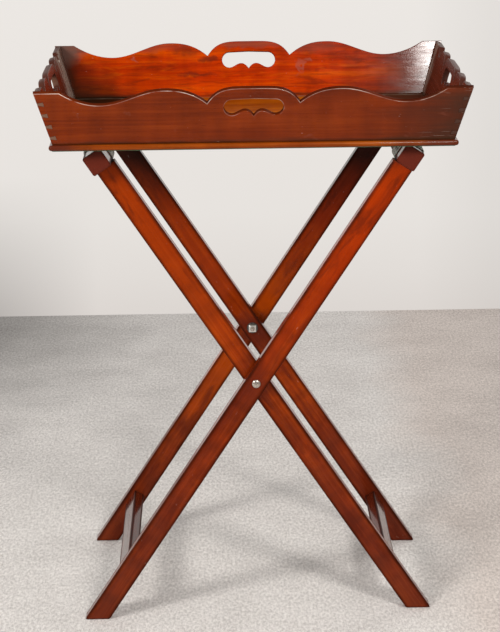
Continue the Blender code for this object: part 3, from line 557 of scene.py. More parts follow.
def wall_piece(name, side, half_length, curve, shift, short, material):
    """One wall with rounded edges: rings of points round its outline and its grip, from face to face."""
    edge = top_edge(half_length + WALL_FLARE, curve)
    middle = [(along + shift, height) for along, height in edge + [(-x, h) for x, h in edge[-2::-1]]]
    grip = [(along + shift, height) for along, height in grip_outline()]
    corner = JOINT_ROUND if short else CORNER_ROUND
    tops = [TOP_ROUND] * (len(middle) + 1)
    rounds = ([FOOT_ROUND, corner, *tops, corner], [FOOT_ROUND, JOINT_ROUND, *tops, JOINT_ROUND])
    rubbing_and_glint = [0.0, 0.0, CORNER_RUBBING_AND_GLINT] + [1.0] * len(middle) + [CORNER_RUBBING_AND_GLINT]
    bm = bmesh.new()
    worn_and_glint = bm.verts.layers.float.new("worn_and_glint")
    edge_darkening = bm.verts.layers.float.new("edge_darkening")

    def ring(face, angle, extra, wear_and_glint):
        """One ring round the outline and one round the grip, part way round their edges' curve."""
        depths = [radius * (1 - math.cos(angle)) for radius in rounds[face]]
        depths = [min(depths[i - 1], depths[i]) for i in range(len(depths))]
        depths = [WALL_THICKNESS - depth if face else depth for depth in depths]
        loop = []
        for i, depth in enumerate(depths):
            foot = FIT_GAP - depth * math.sin(FLARE)
            if i < 2:
                loop.append(((2 * i - 1) * wall_end(half_length, foot, depth, short), foot))
            elif i in (2, len(depths) - 1):
                way = 1 if i == 2 else -1
                loop.append((way * wall_end(half_length, CORNER_HEIGHT, depth, short), CORNER_HEIGHT))
            else:
                loop.append(middle[i - 3])
        flat = [(along, height / math.cos(FLARE)) for along, height in loop]
        insets = [radius * (1 - math.sin(angle)) + extra for radius in rounds[face]]
        outline = [(wall_point(side, *spot, depth), wear_and_glint * rub)
                   for spot, depth, rub in zip(drawn_in(flat, insets), depths, rubbing_and_glint)]
        depth = GRIP_ROUND * (1 - math.cos(angle))
        depth = WALL_THICKNESS - depth if face else depth
        flat = [(along, height / math.cos(FLARE)) for along, height in grip]
        inset = -GRIP_ROUND * (1 - math.sin(angle)) - extra
        opening = [(wall_point(side, *spot, depth), wear_and_glint * CORNER_RUBBING_AND_GLINT)
                   for spot in drawn_in(flat, [inset] * len(flat))]
        return outline, opening

    turns = [math.pi / 2 * step / ROUND_STEPS for step in range(ROUND_STEPS + 1)]
    levels = [ring(0, 0, EDGE_FADE_WIDTH, 0.0)]
    levels += [ring(0, angle, 0, wear_and_glint) for angle, wear_and_glint in zip(turns, OUTER_RUBBING_AND_GLINT)]
    levels += [ring(1, angle, 0, wear_and_glint) for angle, wear_and_glint in zip(turns[::-1], INNER_RUBBING_AND_GLINT)]
    levels += [ring(1, 0, EDGE_FADE_WIDTH, 0.0)]
    made = []
    for level, edge_dark in zip(levels, EDGE_DARKENING):
        pair = []
        for loop in level:
            row = []
            for spot, wear_and_glint in loop:
                vertex = bm.verts.new(spot)
                vertex[worn_and_glint] = wear_and_glint
                vertex[edge_darkening] = edge_dark
                row.append(vertex)
            pair.append(row)
        made.append(pair)
    for low, high in zip(made, made[1:]):
        for near, far in zip(low, high):
            for i in range(len(near)):
                bm.faces.new((near[i - 1], near[i], far[i], far[i - 1]))
    for pair in (made[0], made[-1]):
        edges = [bm.edges.get((row[i - 1], row[i])) for row in pair for i in range(len(row))]
        bmesh.ops.triangle_fill(bm, edges=edges, use_beauty=True)
    bmesh.ops.recalc_face_normals(bm, faces=bm.faces)
    return new_piece(name, bm, material)


def pin_blocks(name, corners, grow, past):
    """The dovetail pins at the given corners, as one mesh of separate blocks."""
    bm = bmesh.new()
    slope = (PIN_ROOT - PIN_EDGE) / 2 / WALL_RUN
    for way_x, way_y in corners:
        for height in PIN_HEIGHTS:
            spots = []
            for x in (HALF_LENGTH + past - PIN_OVERLAP, HALF_LENGTH - WALL_RUN - grow + PIN_OVERLAP):
                half = PIN_EDGE / 2 + slope * (HALF_LENGTH - x) + grow
                for up in (height - half, height + half):
                    for y in (HALF_DEPTH + past, HALF_DEPTH - WALL_RUN - PIN_DEEPER):
                        lean = up * math.tan(FLARE)
                        spots.append(bm.verts.new((way_x * (x + lean), way_y * (y + lean), BASE_TOP + up)))
            for quad in ((0, 1, 3, 2), (4, 5, 7, 6), (0, 1, 5, 4), (2, 3, 7, 6), (0, 2, 6, 4), (1, 3, 7, 5)):
                bm.faces.new([spots[i] for i in quad])
    bmesh.ops.recalc_face_normals(bm, faces=bm.faces)
    return new_piece(name, bm)


def carved(piece, cutter, operation="DIFFERENCE"):
    """Cuts or joins one mesh with another, exactly, and throws the second one away."""
    step = piece.modifiers.new("carving", "BOOLEAN")
    step.operation = operation
    step.object = cutter
    step.solver = "EXACT"
    settle(piece)
    bpy.data.objects.remove(cutter)


def settle(piece):
    """Makes a piece's modifiers part of its mesh."""
    bpy.context.view_layer.update()
    done = bpy.data.meshes.new_from_object(piece.evaluated_get(bpy.context.evaluated_depsgraph_get()))
    piece.modifiers.clear()
    piece.data = done
    done.name = piece.name


def darker_ends(wood):
    """The back wall is darker towards both corners, and on the left most of all at its foot: painted shade in its
    left corner and at its foot there, where the left end and the bottom meet it, and a browner board towards its
    right end.
    """
    along = wood.plus(wood.x, wood.wander((6, 20, 20), 0.03))
    height = wood.minus(wood.z, BASE_TOP)
    left = wood.ramp(wood.spread(wood.plus(along, height), (-0.30, -0.19)),
                     (0.0, (0.97,) * 3), (0.38, (0.6,) * 3), (1.0, (0.0,) * 3))
    leaning = wood.plus(wood.x, wood.times(height, math.tan(FLARE)))
    corner = wood.spread(leaning, (-0.305, -0.275), (0.92, 0.0))
    right = wood.spread(along, (0.15, 0.27), (0.0, 0.8))
    return wood.most(left, corner, right)


def brushed_shine(wood):
    """The back wall's shine is worn in strokes along the board, and least of all in its top right corner."""
    height = wood.minus(wood.z, BASE_TOP)
    strokes = wood.spread(wood.noise((24, 170, 170), 5, 0.7, 0.8), (0.40, 0.60), (0.50, 1.0))
    clouds = wood.spread(wood.noise((16, 16, 26), 3, 0.6), (0.42, 0.60), (0.65, 1.0))
    rightwards = wood.spread(wood.plus(wood.x, wood.times(height, 0.5)), (0.04, 0.28), (0.22, 1.0))
    upwards = wood.spread(height, (0.0, 0.06), (0.55, 1.0))
    return wood.times(wood.times(strokes, clouds), wood.times(rightwards, upwards))


def flames(shift, span, strength):
    """The back board's figure: short dark flames along the grain, and bright orange ones between them."""
    return lambda wood: wood.spread(wood.noise((14, 95, 95), 3, 0.6, 1.0, at=wood.moved(wood.place, shift)),
                                    span, (0.0, strength))


def patches_at(*spots):
    """Blurred patches on a long wall, each given by its middle (x, z), its half width and height, and its
    strength."""
    def amount(wood):
        uneven = wood.scaled(wood.moved(wood.noise((60, 60, 60), 3), (-0.5, -0.5, -0.5)), (0.05, 0.0, 0.018))
        place = wood.moved(wood.place, uneven)
        found = []
        for (x, z), half_x, half_z, strength in spots:
            off = wood.scaled(wood.moved(place, (-x, 0, -z)), (1 / half_x, 0, 1 / half_z))
            found.append(wood.spread(wood.length(off), (0.5, 1.2), (strength, 0.0)))
        return wood.most(*found)
    return amount


def dull_right(wood):
    """The front wall is greyer and darker towards its right end."""
    drop = wood.times(wood.minus(wood.z, BASE_TOP), -0.7)
    return wood.spread(wood.plus(wood.x, drop, wood.wander((8, 8, 60), 0.03, 4)), (0.15, 0.30), (0.0, 0.9))


def darker_foot(wood):
    """A wall is darker along its foot."""
    level = wood.plus(wood.z, wood.wander((12, 12, 60), 0.003, 4))
    return wood.spread(level, (BASE_TOP + 0.001, BASE_TOP + 0.007), (0.75, 0.0))


def dusty_spots(wood):
    """Pale bruises in the polish, a finger's width across."""
    return wood.spread(wood.noise((26, 26, 38), 3, 0.6, 0.8), (0.66, 0.76), (0.0, 0.35))


def darker_corners(wood):
    """An end is darkest in both corners."""
    off = wood.plus(wood.size(wood.y), wood.wander((30, 30, 30), 0.012))
    return wood.spread(off, (0.13, 0.20), (0.0, 0.8))


def scratches(wood):
    """A few pale scratches along the grain, near the front wall's right end."""
    lines = wood.spread(wood.noise((22, 22, 1100), 1, 0.4), (0.71, 0.74), (0.0, 0.30))
    return wood.times(wood.spread(wood.x, (0.25, 0.285)), lines)


def waxy_streaks(start, full, falling, end, strength):
    """Grey upright streaks inside an end, beside the back corner, between the given depths."""
    def amount(wood):
        lean = wood.times(wood.minus(wood.z, BASE_TOP), math.tan(FLARE))
        inwards = wood.minus(wood.plus(lean, HALF_LENGTH), wood.size(wood.x))
        deep = wood.plus(wood.y, wood.wander((40, 60, 12), 0.008, 4))
        band = wood.times(wood.spread(deep, (start, full)), wood.spread(deep, (falling, end), (1.0, 0.1)),
                          wood.spread(inwards, (0.6 * WALL_RUN, 0.9 * WALL_RUN)))
        return wood.times(band, wood.spread(wood.noise((60, 190, 14), 3, 0.6), (0.36, 0.60), (0.0, strength)))
    return amount


FOOT_DARK, PALE_STREAK = (0.035, 0.014, 0.006), (0.60, 0.52, 0.43)
CORNER_BROWN, KNOB_BROWN = (0.045, 0.012, 0.004), (0.060, 0.018, 0.011)
back_blots = patches_at(((-0.112, 0.916), 0.026, 0.012, 0.5), ((-0.071, 0.900), 0.016, 0.006, 0.6),
                        ((-0.095, 0.874), 0.036, 0.004, 0.5))
back_haze = patches_at(((-0.185, 0.924), 0.075, 0.010, 0.4), ((0.0, 0.925), 0.075, 0.008, 0.6),
                       ((0.115, 0.920), 0.050, 0.012, 0.4))
# Painted reflection: a grey-brown sheen on the back wall's top left corner.
painted_corner_reflection = patches_at(((-0.328, 0.920), 0.030, 0.030, 0.85))
back_bruises = patches_at(((-0.207, 0.900), 0.005, 0.007, 0.45), ((0.092, 0.887), 0.005, 0.014, 0.4),
                          ((0.105, 0.896), 0.009, 0.004, 0.4))
wall_finishes = {
    "front_wall": dict(
        dark=(0.105, 0.0125, 0.0015), ruddy=(0.155, 0.019, 0.0015), light=(0.202, 0.029, 0.003),
        shift=(0.1, 0.4, 0.3), rubbing_and_glint=1.0, specular=0.0, edge_dark=(0.030, 0.005, 0.002),
        shading=[(dull_right, (0.042, 0.016, 0.009)), (darker_foot, FOOT_DARK),
                 (dusty_spots, (0.17, 0.05, 0.03)), (scratches, (0.50, 0.40, 0.33))]),
    "back_wall": dict(
        dark=(0.27, 0.013, 0.0), ruddy=(0.42, 0.030, 0.0), light=(0.54, 0.064, 0.0),
        shift=(0.7, 0.9, 0.6), rubbing_and_glint=0.05, shine=0.95, specular=0.0, edge_dark=(0.05, 0.012, 0.006),
        mottling=0.20, clouding=brushed_shine,
        shading=[(flames((0.0, 0.0, 0.0), (0.50, 0.68), 0.56), (0.13, 0.012, 0.002)),
                 (flames((0.37, 0.11, 0.23), (0.53, 0.70), 0.36), (0.62, 0.092, 0.0)),
                 (back_blots, (0.075, 0.013, 0.006)), (darker_ends, (0.045, 0.012, 0.005)),
                 (back_haze, (0.20, 0.055, 0.035)), (painted_corner_reflection, (0.13, 0.070, 0.055)),
                 (back_bruises, (0.32, 0.10, 0.07)), (darker_foot, FOOT_DARK)]),
    "left_end": dict(
        dark=(0.040, 0.010, 0.005), ruddy=(0.07, 0.016, 0.008), light=(0.11, 0.030, 0.016),
        turn=(0, 0, QUARTER), shift=(1.3, 0.2, 0.1), rubbing_and_glint=0.25, gloss=0.4,
        ends=(0.17, 0.088, 0.056), edge_dark=KNOB_BROWN,
        shading=[(darker_corners, CORNER_BROWN),
                 (waxy_streaks(0.085, 0.125, 0.168, 0.195, 0.85), PALE_STREAK), (darker_foot, FOOT_DARK)]),
    "right_end": dict(
        dark=(0.040, 0.008, 0.004), ruddy=(0.07, 0.013, 0.007), light=(0.105, 0.022, 0.012),
        turn=(0, 0, QUARTER), shift=(1.9, 0.5, 0.8), rubbing_and_glint=0.25, gloss=0.4,
        ends=(0.055, 0.024, 0.016), edge_dark=KNOB_BROWN,
        shading=[(darker_corners, CORNER_BROWN),
                 (waxy_streaks(0.165, 0.190, 0.203, 0.214, 0.55), PALE_STREAK), (darker_foot, FOOT_DARK)]),
}
LONG_WALL = dict(half_length=HALF_LENGTH, shift=0, short=0)
END_WALL = dict(half_length=HALF_DEPTH, curve=END_CURVE, shift=-END_PATTERN_SHIFT, short=WALL_RUN + FIT_GAP)
wall_forms = {
    "front_wall": dict(LONG_WALL, side=Vector((0, -1, 0)), curve=FRONT_CURVE),
    "back_wall": dict(LONG_WALL, side=Vector((0, 1, 0)), curve=BACK_CURVE),
    "left_end": dict(END_WALL, side=Vector((-1, 0, 0))),
    "right_end": dict(END_WALL, side=Vector((1, 0, 0))),
}
for node, form in wall_forms.items():
    wood = mahogany(node + "_mahogany", **wall_finishes[node])
    wall = wall_piece("polished_" + node, material=wood, **form)
    side = form["side"]
    if side.x:
        carved(wall, pin_blocks("pins", [(side.x, way) for way in (-1, 1)], 0, 0), "UNION")
    else:
        carved(wall, pin_blocks("sockets", [(way, side.y) for way in (-1, 1)], FIT_GAP, SOCKET_REACH))
    smooth(wall)
    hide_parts(node)
    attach(wall, "tray")


# ---------------------------------------------------------------------------
# The screws that hold the walls to the bottom: dark countersunk steel,
# hidden under the baize. Their CAD nodes stay and get their finish.
# ---------------------------------------------------------------------------
def worn_steel(name, dull, bright, roughness):
    steel = Finish(name)
    grime = steel.noise((420, 420, 420), 4, 0.65)
    steel.look(Metallic=1.0, Base_Color=steel.ramp(grime, (0.36, dull), (0.62, bright)),
               Roughness=steel.spread(grime, (0.3, 0.7), (roughness + 0.14, roughness - 0.04)))
    steel.bumped(steel.noise((900, 2600, 900), 2, 0.6), 0.1, 0.0002)
    return steel.material


dark_steel = worn_steel("dark_steel", (0.05, 0.045, 0.04), (0.16, 0.15, 0.14), 0.42)
for name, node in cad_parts.items():
    if name.startswith("base_screw"):
        node.data.materials.clear()
        node.data.materials.append(dark_steel)

# ---------------------------------------------------------------------------
# The stand's legs: straight mahogany bars with eased edges, crossing at the
# bolts and cut flat on the floor. The outer pair leans right, the inner left.
# ---------------------------------------------------------------------------
PIVOT = Vector((0, 0, 0.423))
LEAN = math.radians(33.3)
LEG_WIDTH, LEG_THICKNESS = 0.0354, 0.0225
HALF_STAND = 0.184
SPACER_THICKNESS = 0.0012
INNER_LEG_FACE = HALF_STAND - LEG_THICKNESS - SPACER_THICKNESS - 2 * FIT_GAP
RAIL_FROM_PIVOT, RAIL_HALF, RAIL_OFFSET = 0.4552, 0.017, 0.003
LEG_EASE = 0.0016
BOLT_HOLE_RADIUS, HOLE_SIDES, HOLE_CUT_REACH = 0.0043, 32, 0.02
EDGE_STRIP = 0.0045
LEAST_END_DARKENING = 0.3
BAR_ROUND_STEPS, LEAST_BAR_ROUND = 4, 0.0002
# The steps by which a bar's end is rounded: how far back each is, how far in, and how dark.
END_EASE = ((0.0, 0.004, 0.0), (0.0, 0.0010, 0.4), (0.0003, 0.0003, 0.8), (0.0010, 0.0, 0.6))
FOOT_EASE = ((0.0, 0.0065, 0.0), (0.0, 0.0038, 0.5), (0.0006, 0.0020, 0.8), (0.0018, 0.0007, 0.9),
             (0.0036, 0.0, 0.7))


def stand_point(way, up, out, deep):
    """A place by its way up the leg from the pivot, its way out from the leg's middle line, and its depth."""
    return PIVOT + Vector((way * (up * math.sin(LEAN) + out * math.cos(LEAN)), deep,
                           up * math.cos(LEAN) - out * math.sin(LEAN)))


def bar_section(half_v, half_w, radius, inset):
    """A bar's outline with eased corners, as (v, w, darkening) points, with a plain strip beside each corner."""
    outline = []
    radius = max(radius - inset, LEAST_BAR_ROUND)
    half_v, half_w = half_v - inset, half_w - inset
    plain = radius + min(EDGE_STRIP, half_v / 3)
    for quarter, (way_v, way_w) in enumerate(((1, 1), (-1, 1), (-1, -1), (1, -1))):
        first = (way_v * half_v, way_w * (half_w - plain), 0.0)
        last = (way_v * (half_v - plain), way_w * half_w, 0.0)
        if quarter % 2:
            first, last = last, first
        outline.append(first)
        for i in range(BAR_ROUND_STEPS + 1):
            angle = math.pi / 2 * (quarter + i / BAR_ROUND_STEPS)
            outline.append((way_v * (half_v - radius) + radius * math.cos(angle),
                            way_w * (half_w - radius) + radius * math.sin(angle), 1.0))
        outline.append(last)
    return outline


def bar_piece(name, half_v, half_w, radius, low, high, spot, material, low_ease=END_EASE):
    """A bar from low(v) to high(v) along its length, eased along its corners and round its ends."""
    rows = []
    for end, way, easing in ((low, 1, low_ease), (high, -1, END_EASE)):
        part = [[(spot(end(v) + way * back, v, w), rubbed * max(rub, LEAST_END_DARKENING))
                 for v, w, rub in bar_section(half_v, half_w, radius, inset)] for back, inset, rubbed in easing]
        part.append([(spot(end(v) + way * EDGE_STRIP, v, w), rub)
                     for v, w, rub in bar_section(half_v, half_w, radius, 0)])
        rows += part[::way]
    bm = bmesh.new()
    edge_darkening = bm.verts.layers.float.new("edge_darkening")
    made = stacked(bm, [[place for place, _ in row] for row in rows])
    for vertices, row in zip(made, rows):
        for vertex, (_, rub) in zip(vertices, row):
            vertex[edge_darkening] = rub
    return new_piece(name, bm, material)


def round_cutter(radius, low, high):
    """A round bar along y, at the pivot."""
    turns = [2 * math.pi * i / HOLE_SIDES for i in range(HOLE_SIDES)]
    bm = bmesh.new()
    stacked(bm, [[(radius * math.cos(a), y, PIVOT.z + radius * math.sin(a)) for a in turns] for y in (low, high)])
    return new_piece("bolt_hole", bm)


def under_the_tray(wood):
    """Painted shadow of the tray and rails: the legs are darkest just under the rails, and further down at the back
    than in front.
    """
    return wood.spread(wood.plus(wood.z, wood.times(wood.y, 0.36)), (0.685, 0.79), (0.0, 0.95))


def glowing_middle(wood):
    """Painted light: the legs are brightest and most orange above the bolts."""
    return wood.spread(wood.z, (0.40, 0.68), (0.0, 0.75))


def dark_streaks(grain):
    """Uneven dark polish, in streaks along the leg."""
    def amount(wood):
        board = wood.add("ShaderNodeMapping", {"Vector": wood.place, "Rotation": grain})[0]
        return wood.spread(wood.noise((11, 48, 48), 3, 0.6, 0.5, at=board), (0.50, 0.66), (0.0, 0.6))
    return amount


def glowing_back(wood):
    """Painted light on the outer back leg: a brighter orange round the bolt and below it."""
    height = wood.plus(wood.z, wood.wander((20, 20, 20), 0.05))
    band = wood.times(wood.spread(height, (0.18, 0.36)), wood.spread(height, (0.62, 0.46)))
    return wood.times(band, wood.spread(wood.y, (0.158, 0.162)), 0.75)


def darker_crossing(wood):
    """Grease and polish have darkened the wood round the bolts, a little more below them."""
    off = wood.scaled(wood.moved(wood.place, (0, 0, 0.012 - PIVOT.z)), (1, 0, 1))
    return wood.spread(wood.plus(wood.length(off), wood.wander((50, 50, 50), 0.008)), (0.016, 0.042), (0.62, 0.0))


def dulled_foot(wood):
    """The legs are duller and browner towards the floor."""
    return wood.spread(wood.plus(wood.z, wood.wander((20, 20, 20), 0.06, 4)), (0.36, 0.04), (0.0, 0.45))


leg_colours = ((0.12, 0.011, 0.001), (0.195, 0.021, 0.001), (0.29, 0.038, 0.001))
leg_painted_light = {"outer": (0.36, 0.028, 0.0), "inner": (0.27, 0.026, 0.0)}
frames = (("outer", 1, HALF_STAND, 0.0), ("inner", -1, INNER_LEG_FACE, 0.5))
for frame_name, way, outer_face, from_board in frames:
    grain = (0, QUARTER - way * LEAN, 0)
    wood = mahogany(
        frame_name + "_leg_mahogany", *leg_colours, turn=grain, shift=(from_board, 0.2, 0.3 + from_board),
        gloss=0.8, shine=0.10, specular=0.05, mottling=0.26,
        shading=[(dulled_foot, (0.105, 0.026, 0.014)), (glowing_middle, leg_painted_light[frame_name]),
                 (glowing_back, (0.44, 0.062, 0.0)), (dark_streaks(grain), (0.085, 0.009, 0.002)),
                 (darker_crossing, (0.10, 0.012, 0.004)), (under_the_tray, (0.016, 0.004, 0.002))])
    for side, front in (("front", -1), ("back", 1)):
        middle = front * (outer_face - LEG_THICKNESS / 2)
        name = frame_name + "_leg_" + side
        leg = bar_piece("polished_" + name, LEG_WIDTH / 2, LEG_THICKNESS / 2, LEG_EASE,
                        lambda out: (out * math.sin(LEAN) - PIVOT.z) / math.cos(LEAN),
                        lambda out: RAIL_FROM_PIVOT - RAIL_HALF - FIT_GAP,
                        lambda up, out, deep: stand_point(way, up, out, middle + deep), wood, FOOT_EASE)
        carved(leg, round_cutter(BOLT_HOLE_RADIUS, middle - HOLE_CUT_REACH, middle + HOLE_CUT_REACH))
        smooth(leg)
        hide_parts(name)
        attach(leg, frame_name + "_frame")

# ---------------------------------------------------------------------------
# The top rails: square mahogany bars across the legs' upper ends, darker
# than the legs, with their edges eased, tenoned on and polished.
# ---------------------------------------------------------------------------
RAIL_EASE = 0.003
RAIL_REACH = HALF_STAND + 0.001

for frame_name, way, _, from_board in frames:
    wood = mahogany(frame_name + "_rail_mahogany", (0.09, 0.008, 0.002), (0.155, 0.014, 0.002),
                    (0.23, 0.026, 0.003), turn=(0, 0, QUARTER), shift=(from_board, 0.6, 0.9),
                    ends=(0.098, 0.0135, 0.006), shine=0.14)
    name = frame_name + "_top_rail"
    rail = bar_piece("polished_" + name, RAIL_HALF, RAIL_HALF, RAIL_EASE,
                     lambda v: -RAIL_REACH, lambda v: RAIL_REACH,
                     lambda deep, v, w: stand_point(way, RAIL_FROM_PIVOT + w, RAIL_OFFSET + v, deep), wood)
    smooth(rail)
    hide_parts(name)
    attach(rail, frame_name + "_frame")

# ---------------------------------------------------------------------------
# The low stretchers: flat mahogany bars, tenoned between the legs of each
# frame a little above the floor.
# ---------------------------------------------------------------------------
STRETCHER_FROM_PIVOT = 0.4068
STRETCHER_HALF_WIDTH, STRETCHER_HALF_THICK, STRETCHER_EASE = 0.017, 0.0095, 0.0014

for frame_name, way, outer_face, from_board in frames:
    wood = mahogany(frame_name + "_stretcher_mahogany", (0.05, 0.008, 0.003), (0.09, 0.012, 0.004),
                    (0.13, 0.02, 0.006), turn=(0, 0, QUARTER), shift=(0.4 + from_board, 0.1, 0.5))
    name = frame_name + "_stretcher"
    reach = outer_face - LEG_THICKNESS - FIT_GAP
    stretcher = bar_piece("polished_" + name, STRETCHER_HALF_THICK, STRETCHER_HALF_WIDTH, STRETCHER_EASE,
                          lambda v: -reach, lambda v: reach,
                          lambda deep, v, w: stand_point(way, w - STRETCHER_FROM_PIVOT, v, deep), wood)
    smooth(stretcher)
    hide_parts(name)
    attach(stretcher, frame_name + "_frame")

# ---------------------------------------------------------------------------
# The pivots: domed steel bolts through each crossing, with dark washers
# between the legs and under square nuts, all turned or forged.
# ---------------------------------------------------------------------------
BOLT_RADIUS, BOLT_HEAD_RADIUS, BOLT_HEAD_HEIGHT, BOLT_HEAD_RIM = 0.004, 0.0073, 0.004, 0.0006
BOLT_HEAD_EASE, BOLT_PAST_NUT, BOLT_TIP = 0.0002, 0.002, 0.0006
SPACER_RADIUS = 0.011
PLATE_RADIUS, PLATE_THICKNESS = 0.010, 0.0015
WASHER_EASE = 0.0002
NUT_THICKNESS, NUT_HOLE_RADIUS, NUT_CUT_PAST = 0.006, 0.00415, 0.002
# The steps by which a nut's two faces are rounded: how far back each is, how far in, and its corner's radius.
NUT_FAR_EASE = ((0.0, 0.0004, 0.0012), (0.0004, 0.0, 0.0008))
NUT_NEAR_EASE = ((0.0012, 0.0, 0.0008), (0.0, 0.0009, 0.0022))
LATHE_SIDES, DOME_STEPS = 48, 10

bright_steel = worn_steel("bright_steel", (0.34, 0.30, 0.26), (0.68, 0.62, 0.55), 0.24)
nut_steel = worn_steel("nut_steel", (0.76, 0.74, 0.70), (0.93, 0.92, 0.89), 0.36)


def turned(name, profile, centre, axis, material):
    """Turns a closed (radius, height) profile round an axis, as on a lathe."""
    bm = bmesh.new()
    turn = Vector((0, 0, 1)).rotation_difference(Vector(axis)).to_matrix()
    angles = [2 * math.pi * i / LATHE_SIDES for i in range(LATHE_SIDES)]
    rings = [[bm.verts.new(Vector(centre) + turn @ Vector((radius * math.cos(a), radius * math.sin(a), height)))
              for a in angles[:None if radius else 1]] for radius, height in profile]
    for low, high in zip(rings, rings[1:] + rings[:1]):
        for i in range(LATHE_SIDES):
            j = (i + 1) % LATHE_SIDES
            corners = (low[i % len(low)], low[j % len(low)], high[j % len(high)], high[i % len(high)])
            corners = list(dict.fromkeys(corners))
            if len(corners) > 2:
                bm.faces.new(corners)
    bmesh.ops.recalc_face_normals(bm, faces=bm.faces)
    piece = new_piece(name, bm, material)
    smooth(piece)
    return piece


def washer_profile(radius, thickness):
    return [(BOLT_HOLE_RADIUS, 0), (radius - WASHER_EASE, 0), (radius, WASHER_EASE),
            (radius, thickness - WASHER_EASE), (radius - WASHER_EASE, thickness), (BOLT_HOLE_RADIUS, thickness)]


for side, way in (("front", -1), ("back", 1)):
    inward = (0, -way, 0)
    nut_seat = INNER_LEG_FACE - LEG_THICKNESS - FIT_GAP
    nut_face = nut_seat - PLATE_THICKNESS - FIT_GAP
    length = HALF_STAND + FIT_GAP - (nut_face - NUT_THICKNESS - BOLT_PAST_NUT)
    dome = [(BOLT_HEAD_RADIUS * math.cos(a), -BOLT_HEAD_RIM - (BOLT_HEAD_HEIGHT - BOLT_HEAD_RIM) * math.sin(a))
            for a in [math.pi / 2 * i / DOME_STEPS for i in range(DOME_STEPS)]]
    profile = [(0, -BOLT_HEAD_HEIGHT), *reversed(dome), (BOLT_HEAD_RADIUS - BOLT_HEAD_EASE, 0), (BOLT_RADIUS, 0),
               (BOLT_RADIUS, length - BOLT_TIP), (BOLT_RADIUS - BOLT_TIP, length), (0, length)]
    bolt = turned("domed_bolt_" + side, profile, (0, way * (HALF_STAND + FIT_GAP), PIVOT.z), inward, bright_steel)
    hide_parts("pivot_bolt_" + side)
    spacer = turned("thin_washer_" + side, washer_profile(SPACER_RADIUS, SPACER_THICKNESS),
                    (0, way * (HALF_STAND - LEG_THICKNESS - FIT_GAP), PIVOT.z), inward, dark_steel)
    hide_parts("spacer_washer_" + side)
    plate = turned("dark_washer_" + side, washer_profile(PLATE_RADIUS, PLATE_THICKNESS),
                   (0, way * nut_seat, PIVOT.z), inward, dark_steel)
    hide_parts("nut_washer_" + side)
    low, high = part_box("pivot_nut_" + side)
    near, far = (low.y, high.y) if way > 0 else (high.y, low.y)
    steps = [(far - way * back, inset, corner) for back, inset, corner in NUT_FAR_EASE]
    steps += [(near + way * back, inset, corner) for back, inset, corner in NUT_NEAR_EASE]
    rings = [[(x, y, PIVOT.z + z) for x, z in rounded_rectangle(high.x - inset, high.x - inset, corner)]
             for y, inset, corner in steps]
    bm = bmesh.new()
    stacked(bm, rings)
    nut = new_piece("square_nut_" + side, bm, nut_steel)
    carved(nut, round_cutter(NUT_HOLE_RADIUS, low.y - NUT_CUT_PAST, high.y + NUT_CUT_PAST))
    smooth(nut)
    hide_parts("pivot_nut_" + side)
    for piece in (bolt, spacer, plate, nut):
        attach(piece, "outer_frame")

# ---------------------------------------------------------------------------
# The straps: grey-white cotton webbing in a herringbone weave, stretched
# from rail to rail behind the legs, wrapped round each rail and tacked.
# ---------------------------------------------------------------------------
STRAP_WIDTH, STRAP_THICKNESS = 0.046, 0.0016
STRAP_TAIL_SHARE = 0.68
SELVEDGE, SELVEDGE_ROUND, SELVEDGE_THINNER = 0.0010, 0.0003, 0.8
RAIL_CORE = RAIL_HALF - RAIL_EASE
RAIL_CENTRE = stand_point(1, RAIL_FROM_PIVOT, RAIL_OFFSET, 0)
STRAP_SLANT = (HALF_STAND - INNER_LEG_FACE) / 2 / RAIL_CENTRE.x
STRAP_FROM_LEG = 0.004
STRAP_EDGE = (HALF_STAND + INNER_LEG_FACE) / 2 - LEG_THICKNESS - STRAP_FROM_LEG
WEAVE_PITCH, WARP_PITCH, HERRINGBONE_WIDTH = 0.0022, 0.0009, 0.0058
SPAN_STEPS, BEND_STEPS, FACE_STEPS, WIDTH_STEPS = 34, 6, 6, 8

web = Finish("grey_webbing")
lengthways, across, _ = web.parts(web.add("ShaderNodeUVMap", uv_map="weave")[0])
slope = web.plus(lengthways, web.reckon("PINGPONG", across, HERRINGBONE_WIDTH))
twill = web.reckon("SINE", web.times(slope, 2 * math.pi / WEAVE_PITCH))
warp = web.reckon("SINE", web.times(across, 2 * math.pi / WARP_PITCH))
threads = web.spread(web.plus(twill, web.times(warp, 0.35)), (-1.2, 1.2))
colour = web.ramp(threads, (0.12, (0.34, 0.33, 0.31)), (0.4, (0.84, 0.82, 0.78)), (0.9, (0.93, 0.91, 0.88)))
soil = web.spread(web.noise((60, 60, 60), 4, 0.6), (0.4, 0.7), (0.0, 0.35))
web.look(Base_Color=web.blended(soil, colour, (0.46, 0.43, 0.38)), Roughness=0.92, Specular_IOR_Level=0.15,
         Sheen_Weight=0.15)
web.bumped(threads, 0.8, 0.0005)


